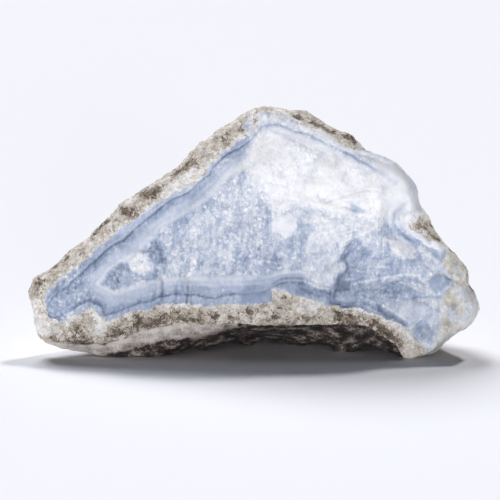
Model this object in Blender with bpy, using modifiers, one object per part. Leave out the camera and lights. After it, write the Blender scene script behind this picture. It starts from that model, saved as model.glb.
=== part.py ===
"""A hand-sized fragment of a blue chalcedony nodule, broken so that its banded inside shows.

The stone is one natural piece, so it is one closed solid. Its broken face looks along -Y and leans back
a little, its granular brown rind wraps the edges and the whole back, and its hollow underside stands on a
few small feet.
"""

import math

import bmesh
import bpy
from mathutils import Vector, noise

MM = 0.001

# The face leans back by this angle, and every section behind it leans with it
LEAN = math.tan(math.radians(8.0))

# Sections of the stone in millimetres, from the broken face to the back: how far behind the face each one
# lies, then its upper outline from the left tip to the right tip, then its lower outline from right to left.
FACE_TOP = [
    (-43.6, 12.6), (-43.0, 14.6), (-41.6, 16.0), (-39.3, 17.4), (-37.3, 19.0), (-34.9, 21.3),
    (-32.5, 23.2), (-28.3, 27.0), (-24.7, 30.4), (-20.5, 33.2), (-15.6, 36.2), (-13.4, 38.0),
    (-11.8, 40.0), (-9.8, 42.3), (-6.7, 44.7), (-2.6, 46.3), (-0.6, 48.1), (1.0, 49.2), (5.7, 48.6),
    (7.5, 47.7), (9.6, 46.5), (14.6, 44.9), (17.3, 42.9), (21.9, 40.6), (27.8, 38.2), (29.6, 36.6),
    (31.0, 34.6), (31.8, 31.8), (32.3, 29.0), (32.9, 26.6), (34.5, 24.4), (38.9, 20.6), (40.7, 18.2),
    (41.4, 15.8), (42.6, 13.4), (43.8, 11.0), (43.8, 9.5),
]
FACE_LOW = [
    (43.8, 9.5), (42.9, 7.4), (40.8, 5.8), (38.5, 4.5), (36.8, 2.6), (35.0, 1.3), (31.8, 0.3),
    (30.2, 0.2), (28.6, 1.8), (28.8, 2.8), (26.4, 4.3), (23.9, 5.9), (22.5, 7.1), (17.4, 6.7),
    (11.4, 7.5), (4.4, 7.3), (-0.6, 6.6), (-4.0, 7.4), (-8.0, 6.9), (-18.6, 6.7), (-24.6, 5.3),
    (-29.0, 3.9), (-32.6, 3.5), (-36.6, 3.3), (-40.3, 3.8), (-42.4, 4.8), (-43.1, 7.9), (-43.5, 10.8),
    (-43.6, 12.6),
]
CREST_TOP = [
    (-45.4, 13.3), (-44.6, 15.9), (-43.6, 16.8), (-40.8, 17.8), (-39.0, 19.3), (-36.4, 21.6),
    (-34.0, 23.2), (-31.1, 26.2), (-27.7, 29.1), (-26.3, 30.7), (-23.3, 32.3), (-19.4, 35.1),
    (-14.5, 38.3), (-12.9, 40.5), (-10.9, 43.0), (-9.2, 43.6), (-8.2, 45.1), (-6.4, 46.0), (-3.3, 47.5),
    (-1.6, 48.8), (0.6, 49.7), (2.3, 50.2), (5.7, 49.5), (7.2, 48.8), (9.0, 49.5), (11.1, 49.0),
    (13.7, 46.9), (17.4, 45.1), (20.3, 44.4), (22.1, 41.7), (24.3, 40.5), (28.6, 38.9), (31.7, 35.7),
    (32.7, 34.2), (33.8, 29.7), (35.3, 27.7), (38.3, 23.1), (41.1, 20.0), (43.4, 17.3), (43.2, 14.9),
    (45.0, 11.9), (45.4, 9.7),
]
CREST_LOW = [
    (45.4, 9.7), (45.3, 8.4), (44.3, 6.6), (41.3, 4.6), (38.8, 3.2), (37.2, 1.4), (35.0, 0.6), (31.5, -0.5),
    (28.5, 0.4), (25.0, 2.6), (21.0, 4.4), (17.0, 4.6), (12.0, 5.6), (6.0, 5.8), (0.0, 5.4), (-4.0, 5.4),
    (-8.0, 4.6), (-13.0, 3.4), (-17.0, 1.0), (-20.0, -0.6), (-25.0, -1.0), (-29.0, -0.2), (-33.0, 0.8),
    (-38.6, 1.5), (-41.8, 2.9), (-43.8, 4.6), (-44.0, 7.0), (-44.1, 10.0), (-45.4, 13.3),
]
SHOULDER_TOP = [
    (-39.6, 12.0), (-37.4, 15.6), (-33.8, 20.0), (-29.6, 24.4), (-25.2, 28.8), (-20.4, 32.6), (-14.5, 36.4),
    (-10.0, 41.0), (-5.0, 44.6), (1.5, 47.8), (7.0, 47.4), (12.5, 45.8), (18.5, 42.6), (23.0, 39.2),
    (28.5, 36.6), (32.0, 32.0), (34.6, 27.2), (38.4, 21.6), (41.8, 15.6), (44.0, 10.4),
]
SHOULDER_LOW = [
    (44.0, 10.4), (43.0, 7.6), (40.0, 5.4), (36.0, 3.4), (32.0, 1.9), (27.5, 1.1), (24.0, 0.9), (20.0, 0.2),
    (17.4, -0.5), (15.2, 0.6), (13.0, 1.8), (11.0, 2.6), (6.0, 3.6), (0.0, 3.4), (-5.0, 2.6), (-10.5, 0.4),
    (-15.0, 0.2), (-20.0, 0.1), (-26.0, 0.5), (-30.5, 1.6), (-34.5, 3.2), (-37.6, 5.4), (-39.2, 8.4),
    (-39.6, 12.0),
]
MIDDLE_TOP = [
    (-32.0, 12.0), (-30.6, 16.0), (-28.0, 20.6), (-24.4, 25.8), (-19.4, 31.0), (-13.0, 36.5),
    (-6.0, 41.5), (1.0, 44.5), (8.0, 44.0), (15.0, 41.0), (22.0, 36.5), (28.0, 32.0), (33.0, 26.0),
    (37.5, 19.5), (41.0, 13.0), (41.5, 9.5),
]
MIDDLE_LOW = [
    (41.5, 9.5), (39.0, 5.5), (34.0, 3.2), (29.0, 2.0), (24.0, 1.4), (19.0, 0.9), (15.0, 1.1), (12.0, 0.7),
    (9.4, -0.6), (6.8, 0.8), (3.5, 1.4), (1.5, 0.6), (0.0, -0.6), (-2.0, 0.6), (-6.0, 1.4), (-12.0, 1.0),
    (-18.0, 0.8), (-22.5, 1.6), (-27.0, 3.4), (-30.4, 6.6), (-32.0, 12.0),
]
HAUNCH_TOP = [
    (-25.0, 10.0), (-24.2, 14.6), (-21.4, 20.0), (-17.0, 25.8), (-11.0, 31.5), (-3.0, 35.5), (5.0, 37.0),
    (13.0, 35.0), (20.0, 31.0), (27.0, 25.5), (33.0, 19.0), (36.0, 12.5), (36.0, 9.0),
]
HAUNCH_LOW = [
    (36.0, 9.0), (32.5, 4.4), (27.0, 1.8), (22.0, 0.4), (18.5, -0.6), (14.5, 0.5), (8.0, 1.6), (1.0, 1.9),
    (-6.0, 1.2), (-10.5, 0.2), (-14.0, -0.6), (-17.6, 0.6), (-21.0, 2.6), (-23.8, 5.8), (-25.0, 10.0),
]
TAIL_TOP = [
    (-18.0, 9.5), (-16.8, 13.6), (-12.6, 19.0), (-7.0, 24.0), (2.0, 26.5), (10.0, 25.5), (18.0, 22.0),
    (25.0, 16.5), (28.5, 11.0),
]
TAIL_LOW = [
    (28.5, 11.0), (25.5, 6.5), (19.0, 3.4), (11.0, 2.4), (2.0, 2.6), (-6.0, 2.8), (-11.0, 3.6),
    (-15.8, 5.6), (-18.0, 9.5),
]
END_TOP = [(-9.0, 9.5), (-6.6, 13.2), (0.0, 16.5), (8.0, 16.0), (14.5, 13.0), (17.0, 10.5)]
END_LOW = [(17.0, 10.5), (12.0, 7.0), (4.0, 5.8), (-4.0, 6.4), (-7.6, 7.6), (-9.0, 9.5)]
SECTIONS = [
    (0.0, FACE_TOP, FACE_LOW),
    (3.0, CREST_TOP, CREST_LOW),
    (8.0, SHOULDER_TOP, SHOULDER_LOW),
    (15.0, MIDDLE_TOP, MIDDLE_LOW),
    (24.0, HAUNCH_TOP, HAUNCH_LOW),
    (32.0, TAIL_TOP, TAIL_LOW),
    (38.0, END_TOP, END_LOW),
]
POINTS_ON_TOP = 150
POINTS_BELOW = 110

# The closed line on the broken face where the smooth chalcedony ends and the gritty rind begins
RIND_EDGE = [
    (-41.8, 11.8), (-40.8, 13.8), (-36.0, 18.0), (-33.4, 20.0), (-29.9, 23.0), (-25.3, 27.0),
    (-22.8, 28.4), (-16.4, 33.8), (-10.3, 37.8), (-7.7, 40.2), (-3.3, 42.9), (0.8, 46.2), (5.7, 48.6),
    (12.0, 45.7), (18.6, 42.0), (28.0, 38.1), (31.2, 34.0), (32.3, 28.2), (35.3, 23.6), (38.1, 21.8),
    (40.0, 15.8), (39.2, 11.8), (36.7, 4.9), (35.0, 1.6), (33.0, 3.9), (29.9, 6.9), (26.5, 8.3),
    (24.5, 9.5), (15.5, 10.9), (9.8, 12.6), (6.0, 13.8), (3.8, 13.8), (3.4, 11.5), (0.4, 11.0),
    (-9.6, 11.0), (-18.7, 11.2), (-20.7, 10.0), (-24.5, 9.6), (-29.7, 7.5), (-32.3, 10.6), (-36.3, 8.7),
    (-38.3, 7.5), (-40.7, 8.3), (-41.8, 11.8),
]
GRIT_SIZE = 2.6
GRIT_HEIGHT = 0.75

# Flat breaks that knocked corners off the hidden back: a point on each break, and the way it faces
BREAKS = [
    ((-23.0, 25.0, 24.0), (-0.62, 0.60, 0.50)),
    ((20.0, 22.0, 31.0), (0.42, 0.66, 0.62)),
    ((31.0, 26.0, 8.0), (0.70, 0.66, -0.26)),
    ((-6.0, 36.5, 14.0), (-0.18, 0.95, 0.25)),
]

# Steps on the broken face: the line of the edge, then the level of its right-hand side (below 0 where that
# side lies lower) and how far it runs before it is back on the level of the face
STEPS = [
    (
        [(15.8, 11.9), (17.0, 16.4), (18.6, 17.4), (18.8, 18.6), (18.0, 19.4), (17.8, 20.8), (19.4, 23.4)],
        -1.1,
        11.0,
    ),
    ([(29.4, 30.1), (28.4, 29.1), (28.0, 28.1), (28.2, 27.1), (29.4, 25.4), (32.4, 23.0)], -0.9, 4.0),
    ([(31.4, 6.2), (32.4, 7.4), (34.4, 8.2)], -0.8, 3.5),
    ([(-18.2, 15.4), (-18.4, 11.6), (-19.4, 10.4)], 0.6, 3.2),
    ([(-15.0, 15.2), (-15.2, 11.8)], -0.4, 2.2),
    ([(-12.8, 15.0), (-12.8, 10.0)], 0.5, 4.0),
]

# Rounded swellings and hollows on the broken face: place, radius across and up, and height, which is
# below 0 for a hollow
SWELLINGS = [
    ((42.4, 12.0), (3.6, 4.6), 1.5),
    ((6.3, 12.3), (1.4, 0.9), -0.9),
    ((1.0, 33.0), (16.0, 10.0), 0.9),
    ((-32.0, 12.0), (7.0, 5.0), 0.5),
    ((27.0, 17.0), (7.0, 7.0), -0.8),
    ((35.5, 25.0), (2.6, 2.6), -0.7),
    ((11.0, 12.4), (9.0, 1.4), 0.5),
]

# Fibres fan out from here over the lower right of the face, towards the lower left
FAN_CENTRE = (27.0, 28.0)
FAN_RIBS = 26
FAN_HEIGHT = 0.1

VOXEL = 0.65
# The voxels round the crest off by about this much, so the whole skin is swelled by it again
SWELL = 0.2
TRIANGLES = 9300
NOISE_SEED = Vector((3.1, 7.7, 1.9))


def smooth(value, low, high):
    """0 below low, 1 above high, and an even slope with soft ends between them."""
    share = min(max((value - low) / (high - low), 0.0), 1.0)
    return share * share * (3.0 - 2.0 * share)


def spaced(points, count):
    """count points at even steps along a line of points, with both its ends."""
    lengths = [0.0]
    for start, end in zip(points, points[1:]):
        lengths.append(lengths[-1] + math.dist(start, end))
    result = []
    piece = 0
    for index in range(count):
        target = lengths[-1] * index / (count - 1)
        while piece < len(points) - 2 and lengths[piece + 1] < target:
            piece += 1
        share = (target - lengths[piece]) / (lengths[piece + 1] - lengths[piece])
        start, end = points[piece], points[piece + 1]
        result.append((start[0] + (end[0] - start[0]) * share, start[1] + (end[1] - start[1]) * share))
    return result


def add_ring(bm, depth, top, low):
    """One section's closed ring of vertices, leaning back with the face."""
    outline = spaced(top, POINTS_ON_TOP)[:-1] + spaced(low, POINTS_BELOW)[:-1]
    return [bm.verts.new((x, depth + LEAN * z, z)) for x, z in outline]


def loft_sections():
    """The blank of the stone: its sections joined by quads, and closed at the face and at the back."""
    bm = bmesh.new()
    rings = [add_ring(bm, *section) for section in SECTIONS]
    for front, back in zip(rings, rings[1:]):
        for index in range(len(front)):
            after = (index + 1) % len(front)
            bm.faces.new((front[index], front[after], back[after], back[index]))
    bm.faces.new(rings[0])
    bm.faces.new(rings[-1])
    bmesh.ops.recalc_face_normals(bm, faces=bm.faces)
    return bm


def break_corners(bm):
    """Cuts the blank along each flat break and closes it there."""
    for point, facing in BREAKS:
        geometry = bm.verts[:] + bm.edges[:] + bm.faces[:]
        cut = bmesh.ops.bisect_plane(bm, geom=geometry, plane_co=point, plane_no=facing, clear_outer=True)
        edges = [item for item in cut["geom_cut"] if isinstance(item, bmesh.types.BMEdge)]
        bmesh.ops.contextual_create(bm, geom=edges)
    bmesh.ops.recalc_face_normals(bm, faces=bm.faces)


def with_modifiers(obj):
    """Swaps an object's mesh for the one that its modifiers make, and drops the modifiers."""
    bpy.context.view_layer.update()
    graph = bpy.context.evaluated_depsgraph_get()
    mesh = bpy.data.meshes.new_from_object(obj.evaluated_get(graph))
    obj.modifiers.clear()
    obj.data = mesh


def beside(line, x, z):
    """How far a place lies to the right of a line of points, or to its left if below 0, and how far past
    its ends."""
    nearest = (math.inf, 0.0, 0.0)
    for index, ((x0, z0), (x1, z1)) in enumerate(zip(line, line[1:])):
        along_x, along_z = x1 - x0, z1 - z0
        length = math.hypot(along_x, along_z)
        share = ((x - x0) * along_x + (z - z0) * along_z) / length**2
        held = min(max(share, 0.0), 1.0)
        distance = math.hypot(x - x0 - along_x * held, z - z0 - along_z * held)
        if distance < nearest[0]:
            side = (x - x0) * along_z - (z - z0) * along_x
            first, last = index == 0, index == len(line) - 2
            past = abs(share - held) * length if (share < 0.0 and first) or (share > 1.0 and last) else 0.0
            nearest = (distance, math.copysign(distance, side), past)
    return nearest[1], nearest[2]


def step_height(line, height, reach, x, z):
    """The level of one step: a sharp edge, then a slow climb back on its right-hand side."""
    side, past = beside(line, x, z)
    if side <= -0.3:
        return 0.0
    climb = 1.0 - smooth(side, 0.4, reach)
    return height * smooth(side, -0.3, 0.3) * climb * (1.0 - smooth(past, 0.0, 2.5))


def fan_height(x, z):
    """Low ribs that run out from the centre of the fan, deepest a little way out from it."""
    across, up = x - FAN_CENTRE[0], z - FAN_CENTRE[1]
    radius = math.hypot(across, up)
    angle = math.atan2(up, across)
    inside = smooth(radius, 2.0, 7.0) * (1.0 - smooth(radius, 14.0, 20.0)) * smooth(-across - up, 0.0, 8.0)
    return FAN_HEIGHT * inside * math.sin(angle * FAN_RIBS + 1.5 * noise.noise(Vector((x, z, 0.0)) / 5.0))


def grit_height(place, x, z):
    """Coarse grains of the rind where the break cuts through it, fading in past the chalcedony's edge."""
    side, _ = beside(RIND_EDGE, x, z)
    if side > 0.0:
        return 0.0
    near, _ = noise.voronoi(place / GRIT_SIZE)
    return GRIT_HEIGHT * smooth(-side, 0.0, 0.8) * (0.45 - smooth(near[0], 0.0, 0.8))


def face_relief(x, z):
    """How far the broken face stands forward of its plane, in millimetres."""
    place = Vector((x, z, 0.0)) + NOISE_SEED
    height = 0.9 * noise.noise(place / 17.0) + 0.32 * noise.noise(place / 6.0)
    height += 0.18 * noise.noise(place / 2.4)
    for line, level, reach in STEPS:
        height += step_height(line, level, reach, x, z)
    for (centre_x, centre_z), (radius_x, radius_z), level in SWELLINGS:
        away = ((x - centre_x) / radius_x) ** 2 + ((z - centre_z) / radius_z) ** 2
        height += level * math.exp(-away)
    return height + fan_height(x, z) + grit_height(place, x, z)


def rind_relief(place):
    """How far the rind swells out: knobs and grains with creases between them, on slower lumps and thin
    ledges that follow its layers, with round pits in patches."""
    near, _ = noise.voronoi((place + NOISE_SEED) / 6.5)
    knob = 0.5 - smooth(near[0], 0.0, 0.8)
    near, _ = noise.voronoi((place - NOISE_SEED) / 3.1)
    grain = 0.5 - smooth(near[0], 0.0, 0.8)
    near, _ = noise.voronoi((place + 2.0 * NOISE_SEED) / 4.4)
    patch = smooth(noise.noise((place - NOISE_SEED) / 11.0), -0.05, 0.15)
    pit = patch * (1.0 - smooth(near[0], 0.1, 0.5))
    lump = noise.noise((place + NOISE_SEED) / 13.0)
    layer = (0.45 * place.y + 0.75 * place.z + 2.2 * lump) / 7.5
    ledge = smooth(layer - math.floor(layer), 0.0, 0.3) - (layer - math.floor(layer))
    return 1.1 * lump + 0.7 * knob + 0.45 * grain + 0.9 * ledge - 0.8 * pit


def underside_relief(place):
    """Streaky ridges of the weathered underside, running back and to the right."""
    across = place.x * 0.45 + place.y * 0.9
    along = place.x * 0.9 - place.y * 0.45
    return 0.7 * noise.noise(Vector((across / 2.6, along / 11.0, 4.0))) + 0.4 * noise.noise(place / 5.0)


def roughen(mesh):
    """Pushes the voxel mesh in and out: face relief along Y, rind and underside relief along the normal."""
    moved = []
    for vertex in mesh.vertices:
        place, normal = vertex.co, vertex.normal
        depth = place.y - LEAN * place.z
        on_face = smooth(-normal.y, 0.55, 0.85) * (1.0 - smooth(depth, 0.6, 2.0))
        below = smooth(-normal.z, 0.3, 0.7) * (1.0 - on_face)
        rind = 1.0 - on_face - below
        # The crest round the face keeps its outline, so the rind's knobs grow with the distance behind it
        rind *= 0.25 + 0.75 * smooth(depth, 2.0, 9.0)
        below *= 0.5 + 0.5 * smooth(depth, 2.0, 9.0)
        shift = normal * (SWELL + rind * rind_relief(place) + below * underside_relief(place))
        shift.y -= on_face * face_relief(place.x, place.z)
        moved.append(place + shift)
    for vertex, place in zip(mesh.vertices, moved):
        vertex.co = place


def cut_feet(bm):
    """Cuts the stone flat where it stands, so that each foot ends in a small level spot."""
    geometry = bm.verts[:] + bm.edges[:] + bm.faces[:]
    ground = bmesh.ops.bisect_plane(
        bm, geom=geometry, plane_co=(0.0, 0.0, 0.0), plane_no=(0.0, 0.0, -1.0), clear_outer=True
    )
    edges = [item for item in ground["geom_cut"] if isinstance(item, bmesh.types.BMEdge)]
    bmesh.ops.edgeloop_fill(bm, edges=edges)
    bmesh.ops.recalc_face_normals(bm, faces=bm.faces)


def make_stone():
    """The whole stone, standing on z = 0 with the middle of its width and depth on the Z axis."""
    bm = loft_sections()
    break_corners(bm)
    mesh = bpy.data.meshes.new("stone")
    bm.to_mesh(mesh)
    bm.free()
    stone = bpy.data.objects.new("stone", mesh)
    home = bpy.data.collections.new("blue chalcedony")
    bpy.context.scene.collection.children.link(home)
    home.objects.link(stone)

    remesh = stone.modifiers.new("Even mesh", "REMESH")
    remesh.mode = "VOXEL"
    remesh.voxel_size = VOXEL
    with_modifiers(stone)
    roughen(stone.data)

    decimate = stone.modifiers.new("Fewer faces", "DECIMATE")
    decimate.ratio = TRIANGLES / (2 * len(stone.data.polygons))
    with_modifiers(stone)

    bm = bmesh.new()
    bm.from_mesh(stone.data)
    cut_feet(bm)
    xs = [vertex.co.x for vertex in bm.verts]
    ys = [vertex.co.y for vertex in bm.verts]
    middle = Vector(((min(xs) + max(xs)) / 2, (min(ys) + max(ys)) / 2, 0.0))
    bmesh.ops.translate(bm, verts=bm.verts, vec=-middle)
    bmesh.ops.scale(bm, verts=bm.verts, vec=(MM, MM, MM))
    bmesh.ops.triangulate(bm, faces=bm.faces)
    bm.to_mesh(stone.data)
    bm.free()
    print("middle of the sections' frame in mm:", [round(value, 3) for value in middle])
    print("triangles:", len(stone.data.polygons))
    return stone


def paint(obj):
    """One pale blue-grey finish for the whole stone."""
    material = bpy.data.materials.new("blue chalcedony with rind")
    material.use_nodes = True
    shader = material.node_tree.nodes["Principled BSDF"]
    shader.inputs["Base Color"].default_value = (0.52, 0.58, 0.70, 1.0)
    shader.inputs["Roughness"].default_value = 0.45
    shader.inputs["Metallic"].default_value = 0.0
    obj.data.materials.clear()
    obj.data.materials.append(material)


def main():
    for obj in list(bpy.data.objects):
        bpy.data.objects.remove(obj)
    paint(make_stone())


main()
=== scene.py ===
# %% [markdown]
# # A blue chalcedony specimen, from a plain solid to a finished stone
#
# Blue chalcedony is quartz in fibres too fine to see, laid down in bands inside a hollow of the rock. This
# lesson takes the plain faceted solid of one broken fragment and gives it what the eye looks for: the smooth
# blue and lilac bands with their dark hairlines, the frosted middle, the gritty brown rind and the dark skin
# underneath. The plain solid stays the master for size and place, so it is loaded first.

import math

import bmesh
import bpy
import numpy as np
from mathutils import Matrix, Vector, noise


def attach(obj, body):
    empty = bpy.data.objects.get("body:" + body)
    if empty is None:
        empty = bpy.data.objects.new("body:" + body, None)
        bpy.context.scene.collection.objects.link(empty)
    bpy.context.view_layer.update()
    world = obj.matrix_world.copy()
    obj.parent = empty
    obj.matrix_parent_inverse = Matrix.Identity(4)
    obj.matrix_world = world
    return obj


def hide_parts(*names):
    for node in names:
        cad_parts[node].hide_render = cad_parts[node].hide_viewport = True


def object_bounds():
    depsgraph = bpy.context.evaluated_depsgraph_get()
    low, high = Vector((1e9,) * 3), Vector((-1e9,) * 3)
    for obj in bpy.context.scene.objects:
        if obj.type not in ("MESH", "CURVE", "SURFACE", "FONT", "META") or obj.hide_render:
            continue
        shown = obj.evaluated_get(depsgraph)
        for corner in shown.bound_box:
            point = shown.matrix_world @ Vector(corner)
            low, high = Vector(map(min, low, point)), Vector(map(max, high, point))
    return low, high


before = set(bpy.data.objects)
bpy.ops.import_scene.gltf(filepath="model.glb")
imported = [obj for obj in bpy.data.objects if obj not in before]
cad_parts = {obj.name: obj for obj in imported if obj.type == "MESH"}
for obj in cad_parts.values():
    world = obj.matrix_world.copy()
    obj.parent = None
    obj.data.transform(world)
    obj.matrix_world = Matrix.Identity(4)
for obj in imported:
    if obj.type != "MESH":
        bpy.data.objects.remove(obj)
cad_low, cad_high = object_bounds()
MM = 0.001
size_mm = [round((high - low) / MM, 1) for low, high in zip(cad_low, cad_high)]
print("the plain stone measures", size_mm, "mm")

# %% [markdown]
# The broken face is nearly a plane, so everything drawn on it is given by two numbers in millimetres: how far
# to the right, and how high. The face leans back by 8 degrees, and its foot lies in front of the middle of the
# stone. The marks are drawn as a viewer sees them who looks down by 9 degrees: for such a viewer, a point that
# lies further back seems to lie a little higher.

# %% Where the broken face lies
VIEW_DOWN = math.radians(9.0)
LEAN = math.tan(math.radians(8.0))
FACE_FORWARD = 20.18
FACE_ASIDE = 0.18
BACK_SEEMS_HIGHER = 0.155


def to_face(points):
    """Points in metres as rows in millimetres: right along the face, height as seen, depth behind the face."""
    right = points[:, 0] / MM + FACE_ASIDE
    depth = points[:, 1] / MM + FACE_FORWARD - LEAN * points[:, 2] / MM
    return right, points[:, 2] / MM + BACK_SEEMS_HIGHER * depth, depth


# %% [markdown]
# A camera can be aimed by a target and an angle. This one looks at the face from straight in front, 9 degrees
# above the level, through a long lens, so that the stone keeps the flat, close look of a catalogue picture.
# The distance follows from the lens and from how wide a strip the picture shows at the face.

# %% Camera
LENS_MM = 135.0
SENSOR_MM = 36.0
STRIP_WIDTH = 100.0 * MM
FACE_FOOT = Vector((-0.6 - FACE_ASIDE, -FACE_FORWARD, 0.0)) * MM
FOOT_BELOW_MIDDLE = 22.0 * MM

view_direction = Vector((0.0, math.cos(VIEW_DOWN), -math.sin(VIEW_DOWN)))
view_up = Vector((0.0, math.sin(VIEW_DOWN), math.cos(VIEW_DOWN)))
view_target = FACE_FOOT + view_up * FOOT_BELOW_MIDDLE
view_distance = STRIP_WIDTH * LENS_MM / SENSOR_MM

camera = bpy.data.objects.new("camera", bpy.data.cameras.new("camera"))
bpy.context.scene.collection.objects.link(camera)
bpy.context.scene.camera = camera
camera.data.lens = LENS_MM
camera.data.sensor_width = SENSOR_MM
camera.data.clip_start = 0.01
camera.location = view_target - view_direction * view_distance
camera.rotation_mode = "QUATERNION"
camera.rotation_quaternion = view_direction.to_track_quat("-Z", "Y")
print("the camera stands", round(view_distance, 3), "m from the face")

# %% [markdown]
# Colours are written as hex values, the way a picture editor shows them. Blender works in linear light, so one
# function turns a hex value into a linear colour. A second small function adds a shader node: its settings
# are the node's own properties, and its inputs are values or links, by name or by number.


# %% Colour and node helpers
def linear(hex_colour):
    """An sRGB hex colour as linear red, green, blue and alpha."""
    channels = [int(hex_colour[index : index + 2], 16) / 255 for index in (0, 2, 4)]
    return [c / 12.92 if c <= 0.04045 else ((c + 0.055) / 1.055) ** 2.4 for c in channels] + [1.0]


def add_node(tree, kind, inputs=None, stops=None, **settings):
    """Adds one node and returns it. stops are a colour ramp's (place, colour or grey) pairs."""
    made = tree.nodes.new(kind)
    for name, value in settings.items():
        setattr(made, name, value)
    for name, value in (inputs or {}).items():
        if isinstance(value, bpy.types.NodeSocket):
            tree.links.new(value, made.inputs[name])
        else:
            made.inputs[name].default_value = value
    if stops:
        elements = made.color_ramp.elements
        while len(elements) < len(stops):
            elements.new(1.0)
        for element, (place, colour) in zip(elements, stops):
            element.position = place
            element.color = linear(colour) if isinstance(colour, str) else (colour, colour, colour, 1.0)
    return made


def new_material(name):
    """An empty node material, and its node tree to fill."""
    material = bpy.data.materials.new(name)
    material.use_nodes = True
    material.node_tree.nodes.clear()
    return material, material.node_tree


# %% [markdown]
# The setting is a plain pale floor with soft light. The stone's shadow falls towards the viewer and to the
# left, with a clear front edge, so the main light comes from behind, from the right and from above. A wide
# window light behind on the left, high up, softens the rest. The last two lights are low, one at the front
# left and one in front: they light the face, but hardly the floor, and so the shadow stays dark.

# %% Floor and light
FLOOR_SIDE = 30.0
WINDOW_COLOUR = "F9FAFE"
SKY_STRENGTH = 0.01
LIGHTS = [
    # name, azimuth (0 is behind the stone, 90 on its right), elevation, softness in degrees, strength, colour
    ("key light", 36.0, 58.0, 7.0, 1.3, "FFFDFB"),
    ("back window", -24.0, 50.0, 30.0, 2.7, WINDOW_COLOUR),
    ("low left light", -118.0, 1.5, 6.0, 1.2, WINDOW_COLOUR),
    ("low front light", 172.0, 1.0, 8.0, 2.04, "FAFAFC"),
]


def add_sun(name, azimuth, elevation, softness, strength, colour):
    """A far light that shines from this direction. The softness is how wide it looks from the stone."""
    lamp = bpy.data.lights.new(name, "SUN")
    lamp.energy = strength
    lamp.angle = math.radians(softness)
    lamp.color = linear(colour)[:3]
    light = bpy.data.objects.new(name, lamp)
    a, e = math.radians(azimuth), math.radians(elevation)
    towards = Vector((math.sin(a) * math.cos(e), math.cos(a) * math.cos(e), math.sin(e)))
    light.rotation_mode = "QUATERNION"
    light.rotation_quaternion = towards.to_track_quat("Z", "Y")
    bpy.context.scene.collection.objects.link(light)


for settings in LIGHTS:
    add_sun(*settings)

world = bpy.data.worlds.new("soft studio")
bpy.context.scene.world = world
world.use_nodes = True
sky = world.node_tree.nodes["Background"]
sky.inputs["Color"].default_value = linear(WINDOW_COLOUR)
sky.inputs["Strength"].default_value = SKY_STRENGTH
bpy.context.scene.view_settings.view_transform = "Standard"

bm = bmesh.new()
bmesh.ops.create_grid(bm, x_segments=1, y_segments=1, size=FLOOR_SIDE / 2)
floor_mesh = bpy.data.meshes.new("floor")
bm.to_mesh(floor_mesh)
bm.free()
floor = bpy.data.objects.new("floor", floor_mesh)
bpy.context.scene.collection.objects.link(floor)
paper, tree = new_material("matt white paper")
shader = add_node(tree, "ShaderNodeBsdfPrincipled", {"Base Color": linear("F4F5FA"), "Roughness": 0.9})
shader.inputs["Specular IOR Level"].default_value = 0.2
add_node(tree, "ShaderNodeOutputMaterial", {"Surface": shader.outputs[0]})
floor.data.materials.append(paper)

# %% [markdown]
# The stone starts as a copy of the plain solid. Its facets are 1 to 2 mm wide, too coarse for grit and
# crystals. Sculptors would remesh it and work on the fine mesh, and the same is done here: a voxel remesh
# gives even faces less than a quarter of a millimetre wide, and a few rounds of smoothing take the old facets
# out while the steps and lumps stay.

# %% Fine mesh for the stone
VOXEL = 0.23 * MM
SMOOTH_ROUNDS = 12
MERGE_WITHIN = 0.001 * MM


def with_modifiers(obj):
    """Swaps an object's mesh for the one that its modifiers make, and drops the modifiers."""
    bpy.context.view_layer.update()
    graph = bpy.context.evaluated_depsgraph_get()
    mesh = bpy.data.meshes.new_from_object(obj.evaluated_get(graph))
    obj.modifiers.clear()
    obj.data = mesh


def fine_copy(node, name):
    """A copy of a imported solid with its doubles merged, remeshed finely and smoothed."""
    bm = bmesh.new()
    bm.from_mesh(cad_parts[node].data)
    bmesh.ops.remove_doubles(bm, verts=bm.verts, dist=MERGE_WITHIN)
    mesh = bpy.data.meshes.new(name)
    bm.to_mesh(mesh)
    bm.free()
    obj = bpy.data.objects.new(name, mesh)
    bpy.context.scene.collection.objects.link(obj)
    remesh = obj.modifiers.new("fine voxels", "REMESH")
    remesh.mode = "VOXEL"
    remesh.voxel_size = VOXEL
    with_modifiers(obj)
    bm = bmesh.new()
    bm.from_mesh(obj.data)
    for _ in range(SMOOTH_ROUNDS):
        bmesh.ops.smooth_vert(
            bm, verts=bm.verts, factor=0.5, use_axis_x=True, use_axis_y=True, use_axis_z=True
        )
    bm.to_mesh(obj.data)
    bm.free()
    return obj


def read_points(mesh):
    """The vertices of a mesh, in metres, and their normals, as arrays of three columns."""
    points = np.empty(len(mesh.vertices) * 3)
    normals = np.empty(len(mesh.vertices) * 3)
    mesh.vertices.foreach_get("co", points)
    mesh.vertex_normals.foreach_get("vector", normals)
    return points.reshape(-1, 3), normals.reshape(-1, 3)


stone = fine_copy("stone", "banded_stone")
print("the fine mesh has", len(stone.data.vertices), "vertices")

# %% [markdown]
# Noise makes drawn lines and forms look grown. Blender's noise functions take one point at a time, so small
# functions run one of them over all points and return the values as an array.


# %% Noise over many points
def noise_over(places, size, shift=0.0, stretch=(1.0, 1.0, 1.0)):
    """Soft noise from about -1 to 1 with features of this size, in the places' own unit."""
    scaled = (places * np.array(stretch) + shift) / size
    return np.array([noise.noise(place) for place in scaled.tolist()])


def cells_over(places, size, shift=0.0):
    """Distance to the middle of the nearest cell of a random cell pattern, 0 to about 1."""
    scaled = (places + shift) / size
    return np.array([noise.voronoi(place)[0][0] for place in scaled.tolist()])


def soft_step(values, low, high):
    """0 below low, 1 above high, and a slope with soft ends between them."""
    share = np.clip((values - low) / (high - low), 0.0, 1.0)
    return share * share * (3.0 - 2.0 * share)
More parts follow.
